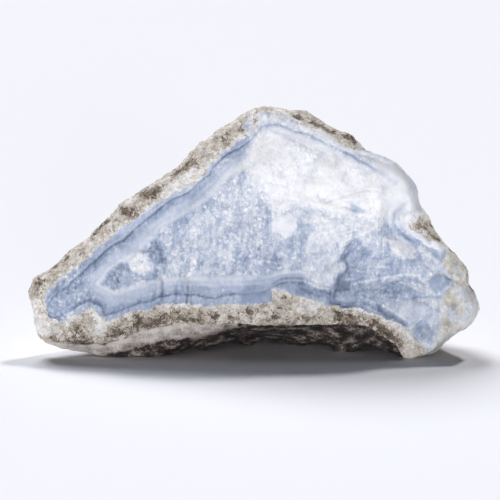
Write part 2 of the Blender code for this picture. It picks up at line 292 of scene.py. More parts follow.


# %% [markdown]
# The bands of chalcedony follow the wall of the hollow that they filled, so they are drawn like contour lines
# on a map. Three closed lines on the face are enough: the edge of the rind, the dark hairline inside it, and
# the edge of the frosted core. The distances to two neighbouring lines then say how far between them a place
# lies, whatever the width of the band is there.

# %% Contour lines of the bands, in millimetres on the face
RIND_EDGE = [
    (-41.8, 11.8), (-40.8, 13.8), (-36.0, 18.0), (-33.4, 20.0), (-29.9, 23.0), (-25.3, 27.0), (-22.8, 28.4),
    (-19.4, 30.8), (-17.4, 31.9), (-15.0, 33.3), (-12.6, 34.7), (-9.8, 36.6), (-8.0, 39.2), (-3.3, 42.9), (0.8, 46.2), (4.5, 50.0), (6.6, 48.4), (9.4, 46.6),
    (13.4, 45.2), (17.4, 43.6), (21.0, 42.2), (28.0, 39.6), (33.0, 35.0), (34.0, 30.6), (33.4, 28.8), (30.8, 28.5), (30.9, 26.7),
    (32.4, 25.2), (35.4, 24.1), (38.1, 22.6), (39.4, 19.4), (40.0, 15.8),
    (39.2, 11.8), (36.7, 4.9), (35.0, 1.6), (33.0, 3.9), (29.9, 6.9), (26.5, 8.3), (24.5, 9.5), (15.5, 10.9),
    (9.8, 12.6), (6.0, 13.8), (3.8, 13.8), (3.4, 11.5), (0.4, 11.0), (-9.6, 11.0), (-18.7, 11.2), (-20.7, 10.0),
    (-24.5, 9.6), (-29.7, 7.5), (-32.3, 10.6), (-36.3, 8.7), (-38.3, 7.5), (-40.7, 8.3), (-41.8, 11.8),
]
HAIRLINE = [
    (-41.1, 9.1), (-41.0, 10.7), (-40.4, 11.8), (-38.8, 13.4), (-36.8, 14.8), (-35.8, 16.0), (-34.2, 17.2),
    (-31.8, 19.4), (-29.8, 21.4), (-27.8, 22.9), (-26.0, 23.6), (-23.4, 26.1), (-19.8, 28.9), (-17.8, 30.8),
    (-15.8, 32.0), (-12.8, 33.2), (-10.9, 35.1), (-8.7, 36.8), (-8.1, 38.1), (-5.1, 40.9), (-3.0, 41.7),
    (-0.4, 43.7), (1.0, 45.6), (2.4, 46.7), (4.1, 47.1), (6.1, 46.6), (9.6, 45.4), (11.6, 44.1), (14.6, 43.5),
    (17.7, 41.7), (22.7, 39.2), (27.4, 36.6), (29.2, 34.2), (30.0, 31.8), (29.7, 30.2), (28.7, 29.2),
    (28.3, 28.2), (28.5, 27.2), (29.7, 25.4), (33.7, 22.6), (36.1, 21.0), (37.9, 18.2), (38.4, 14.8),
    (37.8, 11.2), (36.7, 8.3), (34.3, 4.3), (31.9, 6.5), (29.5, 8.5), (27.1, 10.1), (24.5, 11.2), (21.5, 12.2),
    (15.5, 13.0), (12.7, 14.0), (10.7, 15.2), (7.4, 15.6), (5.4, 15.2), (3.0, 14.0), (1.0, 13.4), (-4.0, 13.1),
    (-6.0, 12.8), (-7.6, 12.1), (-10.7, 12.9), (-15.1, 13.2), (-18.7, 12.6), (-20.7, 11.6), (-22.7, 11.5),
    (-26.3, 9.9), (-29.7, 8.9), (-30.5, 11.0), (-32.5, 11.7), (-34.1, 11.5), (-36.7, 9.7), (-39.9, 8.3),
    (-41.1, 9.1),
]
CORE_EDGE = [
    (-30.2, 15.2), (-28.8, 17.4), (-25.2, 19.6), (-23.2, 20.6), (-20.8, 23.6), (-19.4, 23.8), (-18.8, 26.0),
    (-14.8, 28.0), (-10.7, 30.4), (-8.3, 32.2), (-4.7, 36.4), (-0.6, 38.9), (1.0, 41.9), (2.6, 43.7), (5.5, 44.3),
    (9.5, 42.7), (13.6, 41.5), (17.7, 39.3), (21.7, 37.5), (24.7, 35.4), (26.7, 32.8), (27.3, 30.2),
    (26.5, 27.4), (27.3, 24.8), (32.0, 20.2), (34.4, 18.2), (35.2, 14.8), (34.5, 11.2), (33.1, 9.5),
    (30.5, 10.7), (25.1, 13.8), (21.5, 14.8), (15.5, 15.8), (9.5, 17.6), (6.4, 17.6), (3.4, 16.7),
    (-18.1, 16.2), (-20.7, 15.9), (-22.7, 15.0), (-27.3, 13.8), (-28.4, 14.4), (-30.2, 15.2),
]


def near_line(line, right, height):
    """How far each place lies from the nearest point of a line, in millimetres."""
    nearest = np.full(len(right), np.inf)
    for (x0, z0), (x1, z1) in zip(line, line[1:]):
        along_x, along_z = x1 - x0, z1 - z0
        share = ((right - x0) * along_x + (height - z0) * along_z) / (along_x**2 + along_z**2)
        share = np.clip(share, 0.0, 1.0)
        nearest = np.minimum(nearest, np.hypot(right - x0 - along_x * share, height - z0 - along_z * share))
    return nearest


def inside_line(line, right, height):
    """How far each place lies inside a closed line, in millimetres (below 0: outside)."""
    crossings = np.zeros(len(right), int)
    for (x0, z0), (x1, z1) in zip(line, line[1:]):
        if z0 != z1:
            spans = (height >= min(z0, z1)) & (height < max(z0, z1))
            crossings += spans & (right < x0 + (height - z0) * (x1 - x0) / (z1 - z0))
    return np.where(crossings % 2 == 1, 1.0, -1.0) * near_line(line, right, height)


def layer_of(right, height):
    """0 at the rind's edge, 1 on the hairline, 2 at the edge of the core, and up to 3 inside the core."""
    to_rind = np.maximum(inside_line(RIND_EDGE, right, height), 0.0)
    to_hair = inside_line(HAIRLINE, right, height)
    to_core = inside_line(CORE_EDGE, right, height)
    outer = to_rind / (to_rind + np.abs(to_hair) + 0.01)
    middle = 1.0 + np.abs(to_hair) / (np.abs(to_hair) + np.abs(to_core) + 0.01)
    inner = 2.0 + np.clip(to_core / 4.0, 0.0, 1.0)
    return np.where(to_core > 0.0, inner, np.where(to_hair > 0.0, middle, outer)), np.abs(to_hair)


# %% [markdown]
# Chalcedony's colours here lie on one line, from deep blue through lilac-grey to white, so one number per
# place is enough: how milky it is, from 0 for deep blue to 1 for white. The same bands look different on each
# side of the stone, so each side has its own list of (layer, milkiness), and the sides blend into each other
# by their direction from the middle of the face.

# %% How milky the bands are on each side
FACE_MIDDLE = (4.0, 27.0)
SIDES = [
    # from and to, in degrees turned from the right, then the pairs of layer and milkiness, then the hairline
    (
        97.0,
        200.0,
        [(0.0, 0.60), (0.12, 0.46), (0.4, 0.42), (0.8, 0.43), (1.0, 0.26), (1.12, 0.33), (1.3, 0.39), (1.5, 0.52),
         (1.9, 0.72), (2.05, 0.67), (2.2, 0.57), (3.0, 0.62)],
        1.0,
    ),
    (
        200.0,
        318.0,
        [(0.0, 0.46), (0.2, 0.41), (0.7, 0.39), (1.0, 0.32), (1.2, 0.37), (1.45, 0.47), (1.7, 0.63), (1.95, 0.70),
         (2.1, 0.58), (3.0, 0.61)],
        0.9,
    ),
    (318.0, 358.0, [(0.0, 0.5), (1.0, 0.46), (2.0, 0.5), (3.0, 0.6)], 0.0),
    (-2.0, 97.0, [(0.0, 0.84), (0.6, 0.78), (1.0, 0.72), (1.5, 0.80), (3.0, 0.84)], 0.0),
]
HAIRLINE_WIDTH = 0.17
HAIRLINE_DARK = 0.26
FINE_BANDS = 0.13
FINE_BANDS_PER_LAYER = 5.0


def side_share(turned, start, end):
    """1 in the directions between start and end, 0 elsewhere, blending over ten degrees."""
    off_middle = (turned - (start + end) / 2 + 180.0) % 360.0 - 180.0
    return soft_step((end - start) / 2 - np.abs(off_middle), -5.0, 5.0)


def milk_of_bands(right, height):
    """The milkiness that the bands alone give, the layer, and how deep the hairline's groove is there."""
    layer, from_hair = layer_of(right, height)
    turned = np.degrees(np.arctan2(height - FACE_MIDDLE[1], right - FACE_MIDDLE[0]))
    milk = np.zeros(len(right))
    groove = np.zeros(len(right))
    for start, end, look, hairline in SIDES:
        share = side_share(turned, start, end)
        milk += share * np.interp(layer, *zip(*look))
        groove += share * hairline * np.exp(-((from_hair / HAIRLINE_WIDTH) ** 2))
    across = np.stack([layer * FINE_BANDS_PER_LAYER, right / 16.0, height / 16.0], 1)
    fine = FINE_BANDS * noise_over(across, 1.0, 50.0) * soft_step(-layer, -2.2, -2.0)
    return milk + fine - HAIRLINE_DARK * groove, layer, groove


# %% [markdown]
# The break crosses many small bodies of stone, each with its own tone, frosting and level. They are drawn as
# outlines in the order in which they lie on top of each other. Each one says how milky it is, how frosted,
# how warm (0 for blue, 1 for beige), how far it stands out in millimetres, and how wide its soft edge is.

# %% Bodies of stone on the broken face
BODIES = [
    # the pale upper middle, and its whitest part
    (0.93, 0.5, 0.0, 0.0, 3.0, [
        (0.6, 45.9), (5.4, 44.2), (9.4, 42.0), (14.4, 40.8), (19.4, 39.6), (23.8, 37.0), (26.0, 35.6), (26.6, 32.5),
        (26.4, 29.3), (23.8, 28.1), (16.4, 29.3), (9.4, 30.5), (6.0, 30.1), (3.4, 31.1), (1.8, 33.1), (-0.6, 35.2),
        (-1.8, 38.6), (-0.6, 43.0)]),
    (1.0, 0.4, 0.0, 0.05, 2.6, [
        (13.0, 38.6), (18.4, 39.6), (19.8, 37.2), (25.0, 34.5), (25.4, 30.7), (23.0, 29.3), (19.4, 31.3),
        (13.8, 31.7), (9.4, 30.5), (7.4, 31.7), (10.4, 33.7)]),
    # the smooth lilac-grey shoulder
    (0.88, 0.04, 0.0, -0.1, 1.6, [
        (24.6, 39.6), (27.8, 39.4), (30.4, 37.2), (33.5, 33.7), (34.5, 30.1), (31.8, 28.9), (29.0, 29.9),
        (27.8, 28.9), (26.6, 28.1), (26.2, 30.9), (26.6, 33.7), (25.4, 36.0), (23.4, 37.6)]),
    # the pale plate in front of the dark mass
    (0.75, 0.6, 0.0, 0.05, 2.6, [
        (7.4, 27.7), (11.4, 28.9), (15.4, 28.3), (19.4, 27.5), (23.8, 27.5), (26.4, 26.3), (24.4, 24.8),
        (21.4, 23.8), (18.8, 22.0), (18.0, 19.4), (17.4, 17.0), (15.4, 15.0), (13.0, 14.0), (11.0, 15.0),
        (10.2, 18.0), (10.6, 22.0), (9.4, 24.0), (7.4, 25.4)]),
    (0.70, 0.6, 0.0, 0.1, 1.6, [
        (11.8, 23.8), (15.4, 23.2), (20.4, 22.6), (20.8, 18.6), (18.6, 16.4), (14.4, 17.2), (11.8, 18.2), (10.6, 20.8)]),
    # the lilac patch, the blue patch beside it and the blue-grey oval above
    (0.83, 0.25, 0.0, 0.1, 0.4, [
        (3.6, 27.3), (4.6, 28.5), (7.4, 29.0), (8.8, 28.3), (8.8, 26.1), (7.8, 24.6), (6.4, 24.3), (5.0, 25.0),
        (3.6, 25.1)]),
    (0.50, 0.5, 0.0, -0.05, 0.9, [
        (9.2, 28.3), (10.4, 27.3), (11.8, 26.7), (12.1, 25.7), (11.0, 24.2), (9.8, 22.8), (9.2, 24.6), (8.9, 26.3)]),
    (0.56, 0.1, 0.0, 0.0, 0.7, [
        (19.2, 31.1), (21.0, 30.7), (22.2, 30.0), (22.7, 29.1), (21.0, 28.8), (19.8, 29.4)]),
    # two dark granular patches on the left, a tail of the first, and the white cluster between them
    (0.30, 1.0, 0.0, -0.05, 0.9, [
        (-30.2, 15.0), (-29.2, 16.6), (-28.0, 18.2), (-26.6, 19.2), (-25.0, 19.4), (-24.4, 17.8), (-23.6, 16.6),
        (-25.0, 15.0), (-27.0, 13.9), (-28.6, 14.3)]),
    (0.47, 0.9, 0.0, 0.0, 0.8, [
        (-24.0, 16.6), (-21.2, 17.0), (-18.6, 17.0), (-18.6, 16.0), (-21.0, 15.6), (-23.8, 15.0)]),
    (0.30, 1.0, 0.0, -0.05, 0.8, [
        (-21.2, 22.4), (-20.2, 23.6), (-18.6, 23.8), (-18.0, 22.4), (-17.4, 20.6), (-17.2, 19.2), (-19.0, 19.0),
        (-20.6, 20.2)]),
    (0.84, 1.0, 0.0, 0.1, 0.9, [
        (-24.6, 19.4), (-23.8, 20.6), (-22.6, 21.4), (-21.4, 20.8), (-20.8, 19.2), (-21.4, 17.6), (-23.0, 17.2),
        (-24.4, 17.8)]),
    # the deep stretch of the lower band
    (0.26, 0.2, 0.0, 0.0, 1.2, [
        (-3.0, 14.3), (-0.2, 14.7), (3.0, 14.3), (4.6, 13.3), (6.8, 12.9), (7.0, 11.7), (1.8, 11.3), (-2.6, 11.3)]),
    # the blue mass on the right, with its deeper and paler parts
    (0.67, 0.75, 0.0, -0.1, 0.4, [
        (16.0, 13.9), (17.0, 16.2), (18.6, 17.2), (18.8, 18.8), (17.8, 20.6), (19.0, 22.2), (20.8, 23.6),
        (23.4, 25.1), (26.2, 26.9), (28.0, 26.1), (29.4, 24.6), (31.8, 22.6), (35.0, 21.0), (37.8, 19.0),
        (39.4, 16.8), (39.4, 14.3), (37.6, 12.7), (36.8, 9.9), (37.0, 7.5), (36.4, 4.8), (35.4, 1.8), (32.8, 3.0),
        (30.2, 5.9), (27.4, 8.3), (23.8, 9.9), (21.0, 10.7), (15.6, 11.1)]),
    (0.65, 0.75, 0.0, 0.0, 1.2, [
        (18.2, 20.6), (19.6, 22.6), (21.8, 22.6), (24.6, 22.2), (27.0, 21.4), (26.6, 20.2), (23.8, 20.4),
        (21.4, 19.8), (20.2, 19.0), (19.8, 16.2), (18.4, 16.4), (19.0, 18.6)]),
    (0.59, 0.6, 0.0, 0.05, 1.6, [
        (26.2, 19.2), (28.6, 20.0), (31.8, 20.2), (34.2, 19.4), (35.4, 17.4), (34.2, 16.4), (31.8, 17.2),
        (29.0, 17.4), (26.6, 17.2)]),
    (0.95, 0.5, 0.0, 0.1, 1.2, [
        (27.4, 23.7), (29.4, 24.2), (31.2, 23.2), (32.8, 21.9), (32.2, 20.5), (30.2, 20.0), (28.8, 20.9),
        (27.6, 22.1)]),
    (0.38, 0.2, 0.0, -0.15, 0.3, [
        (17.2, 16.0), (19.4, 15.6), (19.6, 14.7), (19.4, 13.7), (16.4, 13.7), (16.8, 15.0)]),
    (0.44, 0.7, 0.0, -0.05, 1.2, [
        (26.6, 15.0), (29.4, 15.2), (31.8, 14.5), (34.2, 13.7), (35.0, 12.5), (31.4, 12.1), (28.2, 12.3),
        (25.4, 13.1)]),
    (0.42, 0.4, 0.0, 0.2, 0.8, [
        (34.8, 15.8), (36.4, 16.6), (38.4, 16.7), (39.4, 15.6), (39.2, 14.4), (37.8, 13.7), (36.0, 13.5),
        (35.0, 14.5)]),
    (0.60, 0.3, 0.0, 0.1, 1.2, [
        (29.0, 11.1), (31.8, 11.9), (35.0, 11.1), (35.8, 9.5), (35.4, 7.7), (33.4, 7.5), (31.8, 6.3), (30.4, 7.5),
        (28.6, 9.5)]),
    (0.46, 0.5, 0.0, -0.1, 0.8, [
        (31.8, 6.2), (33.0, 7.3), (34.6, 7.8), (35.4, 6.5), (36.4, 5.0), (35.6, 3.4), (33.8, 3.8), (32.4, 5.0)]),
    (0.26, 0.3, 0.0, -0.1, 0.8, [
        (24.8, 11.1), (26.6, 10.1), (28.6, 8.9), (30.6, 7.5), (31.0, 6.5), (28.6, 7.5), (26.2, 8.7), (24.8, 9.7)]),
]
QUARTZ_BODIES = [
    # the milky knob at the right end, and the margin above it
    (0.66, 0.6, 0.75, 0.0, 1.6, [
        (37.6, 13.1), (39.4, 14.3), (41.0, 14.7), (42.6, 15.0), (43.4, 14.1), (45.5, 11.9), (46.0, 9.3),
        (44.8, 6.1), (41.4, 4.5), (39.0, 3.8), (37.0, 2.2), (36.2, 0.6), (35.0, 1.0), (36.6, 4.8), (37.0, 7.5),
        (36.8, 10.3)]),
    (0.73, 1.0, 1.3, 0.0, 0.8, [
        (38.6, 21.4), (40.6, 22.4), (43.2, 19.4), (44.2, 16.6), (44.0, 14.7), (41.0, 14.7), (39.4, 14.3),
        (39.6, 16.6), (38.0, 19.0)]),
    # white quartz round the dark chip on the right shoulder
    (0.97, 0.8, 0.1, 0.1, 0.7, [
        (29.4, 28.3), (30.6, 29.3), (33.4, 29.5), (34.6, 28.9), (33.0, 28.3), (31.0, 27.7), (31.2, 26.5),
        (32.6, 25.1), (35.6, 23.9), (38.4, 22.6), (38.8, 21.2), (36.6, 21.8), (34.2, 23.0), (31.8, 24.4),
        (30.0, 26.3)]),
    # the pale seam under the dark chips of the right flank, and the white tip
    (0.98, 0.8, 0.3, 0.0, 0.7, [
        (13.0, 45.9), (15.4, 44.8), (17.6, 43.4), (19.2, 41.8), (21.8, 41.4), (23.0, 40.4), (19.4, 41.2),
        (16.2, 42.8), (13.8, 44.2), (10.6, 45.5), (7.8, 46.1), (9.4, 46.1)]),
    (0.78, 0.9, 0.45, 0.0, 2.4, [
        (-2.4, 46.2), (0.0, 49.2), (2.2, 51.6), (5.4, 51.2), (9.0, 50.1), (10.6, 47.6), (8.4, 46.7), (5.4, 47.1),
        (3.0, 47.3), (1.0, 45.4), (-0.8, 44.6)]),
]


def cover_of(outline, softness, right, height):
    """Which places an outline reaches, and how much it covers each of them."""
    xs, zs = zip(*outline)
    reach = softness + 0.5
    near = (right > min(xs) - reach) & (right < max(xs) + reach)
    near = np.flatnonzero(near & (height > min(zs) - reach) & (height < max(zs) + reach))
    depth_in = inside_line(outline + outline[:1], right[near], height[near])
    return near, soft_step(depth_in, -softness / 2, softness / 2)


def lay_bodies(bodies, right, height, fields):
    """Lays each body over the fields: the rows of milkiness, frosting, warmth and level."""
    for milk, frost, warmth, level, softness, outline in bodies:
        near, cover = cover_of(outline, softness, right, height)
        fields[:, near] += cover * (np.array([[milk], [frost], [warmth], [level]]) - fields[:, near])


# %% [markdown]
# Thin lines come next: blue seams, pale growth lines and cracks. Each has a half-width in millimetres, what it
# adds to the milkiness (below 0: a blue line), what it adds to the level, and the points that it runs through.

# %% Lines on the broken face
LINES = [
    # two seams along the right flank, the first one stronger at its end
    (0.26, -0.26, -0.05, [
        (2.6, 46.3), (3.8, 46.6), (5.4, 46.5), (8.4, 45.1), (10.4, 44.8), (13.4, 43.4), (17.4, 41.5), (19.4, 40.7),
        (21.4, 39.5), (23.0, 38.5), (24.6, 37.7)]),
    (0.6, -0.2, 0.0, [(18.4, 41.1), (21.0, 39.6), (22.6, 38.7), (24.6, 37.7), (26.5, 36.4), (28.4, 35.0)]),
    (0.3, -0.14, 0.0, [(2.8, 45.9), (4.6, 44.9), (6.2, 44.3), (9.0, 42.8), (10.4, 42.2)]),
    # the dark curl round the chip on the shoulder, and its echo
    (0.3, -0.17, -0.08, [
        (28.6, 29.4), (28.2, 28.9), (28.1, 28.3), (28.2, 27.3), (28.6, 26.3), (29.4, 25.3),
        (30.4, 24.4), (31.6, 23.6), (33.0, 22.8)]),
    (0.32, -0.07, -0.05, [(29.8, 26.5), (31.0, 25.3), (32.4, 24.0), (33.6, 23.0), (35.4, 22.0), (37.0, 20.6)]),
    # cracks that spread through the white upper middle
    (0.18, -0.12, -0.04, [(13.6, 31.2), (12.2, 34.0), (11.6, 37.0), (12.4, 40.0)]),
    (0.18, -0.10, -0.04, [(14.2, 31.6), (16.8, 34.0), (18.4, 36.6), (19.0, 39.0)]),
    (0.18, -0.12, -0.04, [(14.6, 31.2), (18.6, 32.6), (22.6, 33.6), (25.0, 33.4)]),
    (0.18, -0.10, -0.04, [(12.8, 31.0), (9.4, 33.2), (5.6, 34.6), (2.0, 35.2)]),
    (0.18, -0.12, -0.04, [(12.6, 30.4), (8.0, 31.6), (4.6, 31.4), (2.4, 32.6)]),
    # the lens in the lower band
    (0.26, 0.12, 0.08, [
        (3.8, 14.5), (4.6, 15.2), (5.6, 15.8), (7.4, 15.9), (10.0, 15.9), (11.4, 15.4), (13.0, 14.5), (15.4, 14.1)]),
    (0.5, -0.14, 0.0, [(6.0, 15.0), (7.8, 14.9), (9.4, 14.5), (11.0, 13.7), (12.6, 12.7), (15.0, 12.1)]),
    # waves in the blue mass
    (0.3, 0.2, 0.08, [
        (19.8, 15.2), (21.8, 15.6), (24.2, 16.0), (26.6, 16.4), (29.0, 16.8), (31.4, 17.0), (33.0, 16.6),
        (34.0, 15.6)]),
    (0.35, -0.14, -0.05, [
        (26.2, 15.0), (27.8, 15.5), (29.4, 16.0), (31.4, 16.2), (32.8, 15.9), (33.8, 15.0), (34.8, 14.3)]),
    (0.25, 0.18, 0.05, [(29.4, 15.5), (31.0, 15.0), (32.6, 14.2), (34.2, 13.5)]),
    (0.22, -0.18, -0.06, [(20.6, 13.6), (23.2, 14.0), (25.6, 13.9), (27.6, 13.4), (29.4, 13.3)]),
    (0.25, 0.18, 0.06, [(20.2, 18.0), (21.8, 17.4), (23.8, 17.7), (25.6, 18.6), (27.2, 18.4)]),
    (0.22, -0.16, -0.06, [(22.0, 21.2), (23.6, 20.2), (25.4, 20.0), (27.2, 20.6)]),
    (0.3, -0.14, -0.08, [(26.6, 12.7), (28.8, 12.3), (31.0, 12.1), (33.0, 12.5), (35.4, 12.6), (37.4, 12.4)]),
    (0.25, 0.16, 0.08, [(21.8, 12.3), (23.8, 11.7), (25.8, 10.9), (27.6, 9.9), (29.2, 8.9), (31.0, 7.5)]),
    (0.4, -0.2, -0.05, [
        (15.6, 11.5), (18.4, 11.4), (21.0, 11.3), (23.0, 11.1), (25.0, 10.1), (27.0, 8.9), (29.0, 7.9),
        (30.6, 7.1)]),
    (0.2, 0.22, 0.05, [(31.4, 6.0), (32.0, 6.7), (32.6, 7.4), (33.6, 8.2)]),
    # folds at the pointed left end
    (0.5, -0.2, -0.05, [(-41.6, 11.5), (-41.4, 10.1), (-41.0, 8.7), (-40.2, 7.7), (-39.0, 7.4)]),
    (0.3, -0.15, 0.0, [(-39.8, 11.3), (-39.6, 9.9), (-39.4, 8.5), (-38.6, 8.1), (-38.0, 8.9)]),
    (0.3, -0.28, -0.06, [(-36.6, 10.1), (-35.6, 10.5), (-34.6, 11.2), (-33.6, 11.7), (-32.4, 11.8)]),
    (0.28, -0.28, -0.06, [(-31.6, 11.3), (-30.8, 11.2), (-30.2, 10.6), (-29.8, 9.9), (-29.6, 8.9)]),
    # cracks and steps across the lower band: their dark lines are painted shade on one wall of each step, and the
    # pale line beside the third is a painted highlight on its other wall
    (0.25, -0.12, -0.05, [(-17.9, 15.6), (-18.0, 13.9), (-18.1, 12.1), (-18.8, 10.5)]),
    (0.25, -0.16, -0.08, [(-15.0, 15.6), (-15.1, 14.1), (-15.3, 12.5), (-16.1, 11.3)]),
    (0.2, -0.2, -0.1, [(-12.9, 14.7), (-13.0, 13.3), (-13.2, 11.5)]),
    (0.2, 0.14, 0.1, [(-12.4, 14.9), (-12.6, 13.5), (-12.7, 11.3)]),
    (0.25, -0.1, -0.1, [(17.4, 16.0), (17.0, 15.0), (16.6, 13.7), (16.2, 12.5), (15.7, 11.3)]),
]


def draw_lines(lines, right, height, fields):
    """Adds each line to the rows of milkiness and level."""
    for width, milk, level, line in lines:
        near, _ = cover_of(line, 6.0 * width, right, height)
        shown = np.exp(-((near_line(line, right[near], height[near]) / width) ** 2))
        fields[0, near] += milk * shown
        fields[3, near] += level * shown


# %% [markdown]
# Two patterns spread from a point: fine rays in the white upper middle, and a fan of fibres that opens down
# and to the left from the shoulder. Noise that is stretched along the radius draws both. The frosted core has
# soft blotches, and upright streaks in its lower half. Small white and blue clouds finish it: each is an oval
# with a centre, two radii, a turn in degrees and what it adds.

# %% Rays, fibres, streaks and clouds
FAN_CENTRE = (26.4, 27.3)
RAYS_CENTRE = (13.6, 31.0)
CLOUDS = [
    (-5.6, 36.6, 4.0, 4.0, 0.0, 0.10),
    (-9.0, 33.5, 5.0, 2.0, 40.0, -0.08),
    (16.4, 21.8, 2.0, 5.5, 0.0, 0.06),
    (2.0, 19.0, 7.0, 2.5, 0.0, -0.10),
    (-3.0, 18.6, 1.4, 1.6, 0.0, -0.14),
    (2.2, 18.6, 2.2, 1.4, 0.0, -0.12),
    (4.4, 21.0, 1.4, 3.0, 0.0, -0.10),
    (6.6, 22.6, 1.2, 1.6, 0.0, -0.12),
    (2.6, 27.0, 0.5, 1.0, 0.0, -0.22),
    (10.6, 29.9, 3.4, 0.6, -12.0, -0.24),
    (25.4, 32.6, 0.7, 1.5, -25.0, -0.24),
    (24.8, 35.9, 0.8, 0.8, 0.0, -0.12),
    (30.2, 30.6, 1.2, 1.0, 0.0, -0.10),
    (16.0, 31.6, 2.6, 0.7, 0.0, -0.06),
    (-36.8, 9.2, 1.0, 1.2, 0.0, 0.34),
    (-37.0, 11.0, 3.4, 2.4, 20.0, 0.09),
    (-38.6, 14.2, 2.6, 0.7, 42.0, -0.12),
    (-31.8, 18.6, 3.4, 0.5, 42.0, -0.12),
    (-24.2, 24.6, 3.0, 0.45, 40.0, -0.08),
    (-25.0, 21.8, 7.0, 1.2, 40.0, -0.08),
    (-12.8, 35.4, 4.8, 2.0, 38.0, 0.36),
    (7.0, 16.0, 7.5, 1.0, 0.0, -0.15),
    (34.6, 21.7, 2.6, 1.2, -30.0, 0.22),
    (-17.0, 30.2, 3.0, 0.5, 38.0, -0.12),
    (-12.2, 28.8, 3.4, 1.0, 30.0, -0.14),
    (-6.0, 21.0, 1.6, 1.2, 20.0, 0.16),
    (-5.0, 28.9, 1.4, 0.5, -20.0, 0.22),
    (-8.6, 28.4, 1.4, 0.8, 10.0, 0.16),
    (1.2, 19.2, 0.5, 1.2, 0.0, 0.20),
    (-9.6, 17.6, 1.2, 0.7, 0.0, 0.18),
    (-16.0, 18.4, 1.5, 0.9, 20.0, 0.14),
    (29.0, 15.5, 0.4, 0.25, 0.0, -0.4),
    (36.8, 9.7, 0.5, 0.5, 0.0, -0.4),
    (40.0, 9.8, 1.3, 2.0, 20.0, -0.18),
    (38.6, 7.6, 1.2, 1.6, 0.0, -0.16),
]


def clouds_at(clouds, right, height):
    """The sum of soft ovals at each place."""
    total = np.zeros(len(right))
    for centre_x, centre_z, radius_x, radius_z, turn, amount in clouds:
        c, s = math.cos(math.radians(turn)), math.sin(math.radians(turn))
        x, z = right - centre_x, height - centre_z
        across, up = (x * c + z * s) / radius_x, (z * c - x * s) / radius_z
        total += amount * np.exp(-(across**2) - up**2)
    return total


def spread_from(centre, right, height, per_turn, length):
    """Noise in narrow wedges that open away from a centre, and the distance from that centre."""
    across, up = right - centre[0], height - centre[1]
    radius = np.hypot(across, up)
    angle = np.arctan2(up, across)
    wedges = np.stack([np.cos(angle) * per_turn, np.sin(angle) * per_turn, radius / length], 1)
    return noise_over(wedges, 1.0, 40.0), radius


def free_patterns(millimetres, right, height, core):
    """Milkiness from the patterns that follow no outline."""
    fibres, from_fan = spread_from(FAN_CENTRE, right, height, 20.0, 14.0)
    in_fan = soft_step(from_fan, 1.0, 4.0) * soft_step(-from_fan, -17.0, -11.0)
    in_fan *= soft_step(-(right - FAN_CENTRE[0]) - 1.2 * (height - FAN_CENTRE[1]), 0.0, 5.0)
    rays, from_rays = spread_from(RAYS_CENTRE, right, height, 15.0, 12.0)
    in_rays = soft_step(from_rays, 0.5, 2.0) * soft_step(-from_rays, -13.0, -8.0)
    blotches = 0.08 * noise_over(millimetres, 1.2, 7.0) + 0.06 * noise_over(millimetres, 5.0, 3.0)
    streaks = 0.11 * noise_over(millimetres, 0.8, 8.0, (1.0, 1.0, 0.3)) * soft_step(-height, -28.0, -22.0)
    milk = 0.14 * fibres * in_fan + 0.07 * rays * in_rays + core * (blotches + streaks)
    return milk + 0.07 * noise_over(millimetres, 0.9, 5.0), fibres * in_fan


# %% [markdown]
# Three kinds of stuff share the surface. The chalcedony is what lies inside the rind's edge, near the face,
# with the quartz bodies beside it. The dark skin is the underside: in front it starts below the lip, a line
# drawn from left to right, and further back it is whatever faces down. All the rest is rind.

# %% Which stuff a point is made of
FACE_THICKNESS = 2.2
# How much painted shade darkens the rim where the broken face turns back, against the strong light from above and
# behind
RIM_PAINTED_SHADE = 0.3
LIP = [
    (-43.6, 3.6), (-41.4, 3.6), (-39.2, 3.4), (-35.6, 3.2), (-32.2, 3.4), (-30.0, 3.0), (-28.6, 3.8), (-25.8, 4.4),
    (-23.8, 5.7), (-20.6, 6.3), (-17.6, 6.8), (-10.6, 6.9), (-4.0, 7.4), (1.8, 6.9), (9.4, 6.9), (19.4, 7.1),
    (22.4, 6.9), (24.6, 5.7), (26.4, 4.4), (28.8, 2.8), (30.2, 0.4), (30.6, -2.0),
]
# the outline of the ledge on the left below the lip, where the skin is painted paler as painted light
LEDGE = [
    (-41.8, 4.4), (-39.2, 3.6), (-35.6, 3.0), (-32.2, 3.2), (-30.0, 2.8), (-28.6, 3.6), (-25.8, 4.2), (-23.8, 5.5),
    (-20.6, 6.1), (-17.6, 6.8), (-10.6, 7.2), (-3.4, 7.5), (-3.0, 6.5), (-7.8, 4.8), (-12.6, 4.2), (-16.2, 4.0),
    (-18.6, 3.6), (-21.6, 2.8), (-24.6, 2.0), (-27.0, 1.6), (-30.6, 0.6), (-34.6, 0.4), (-40.6, 0.4),
]


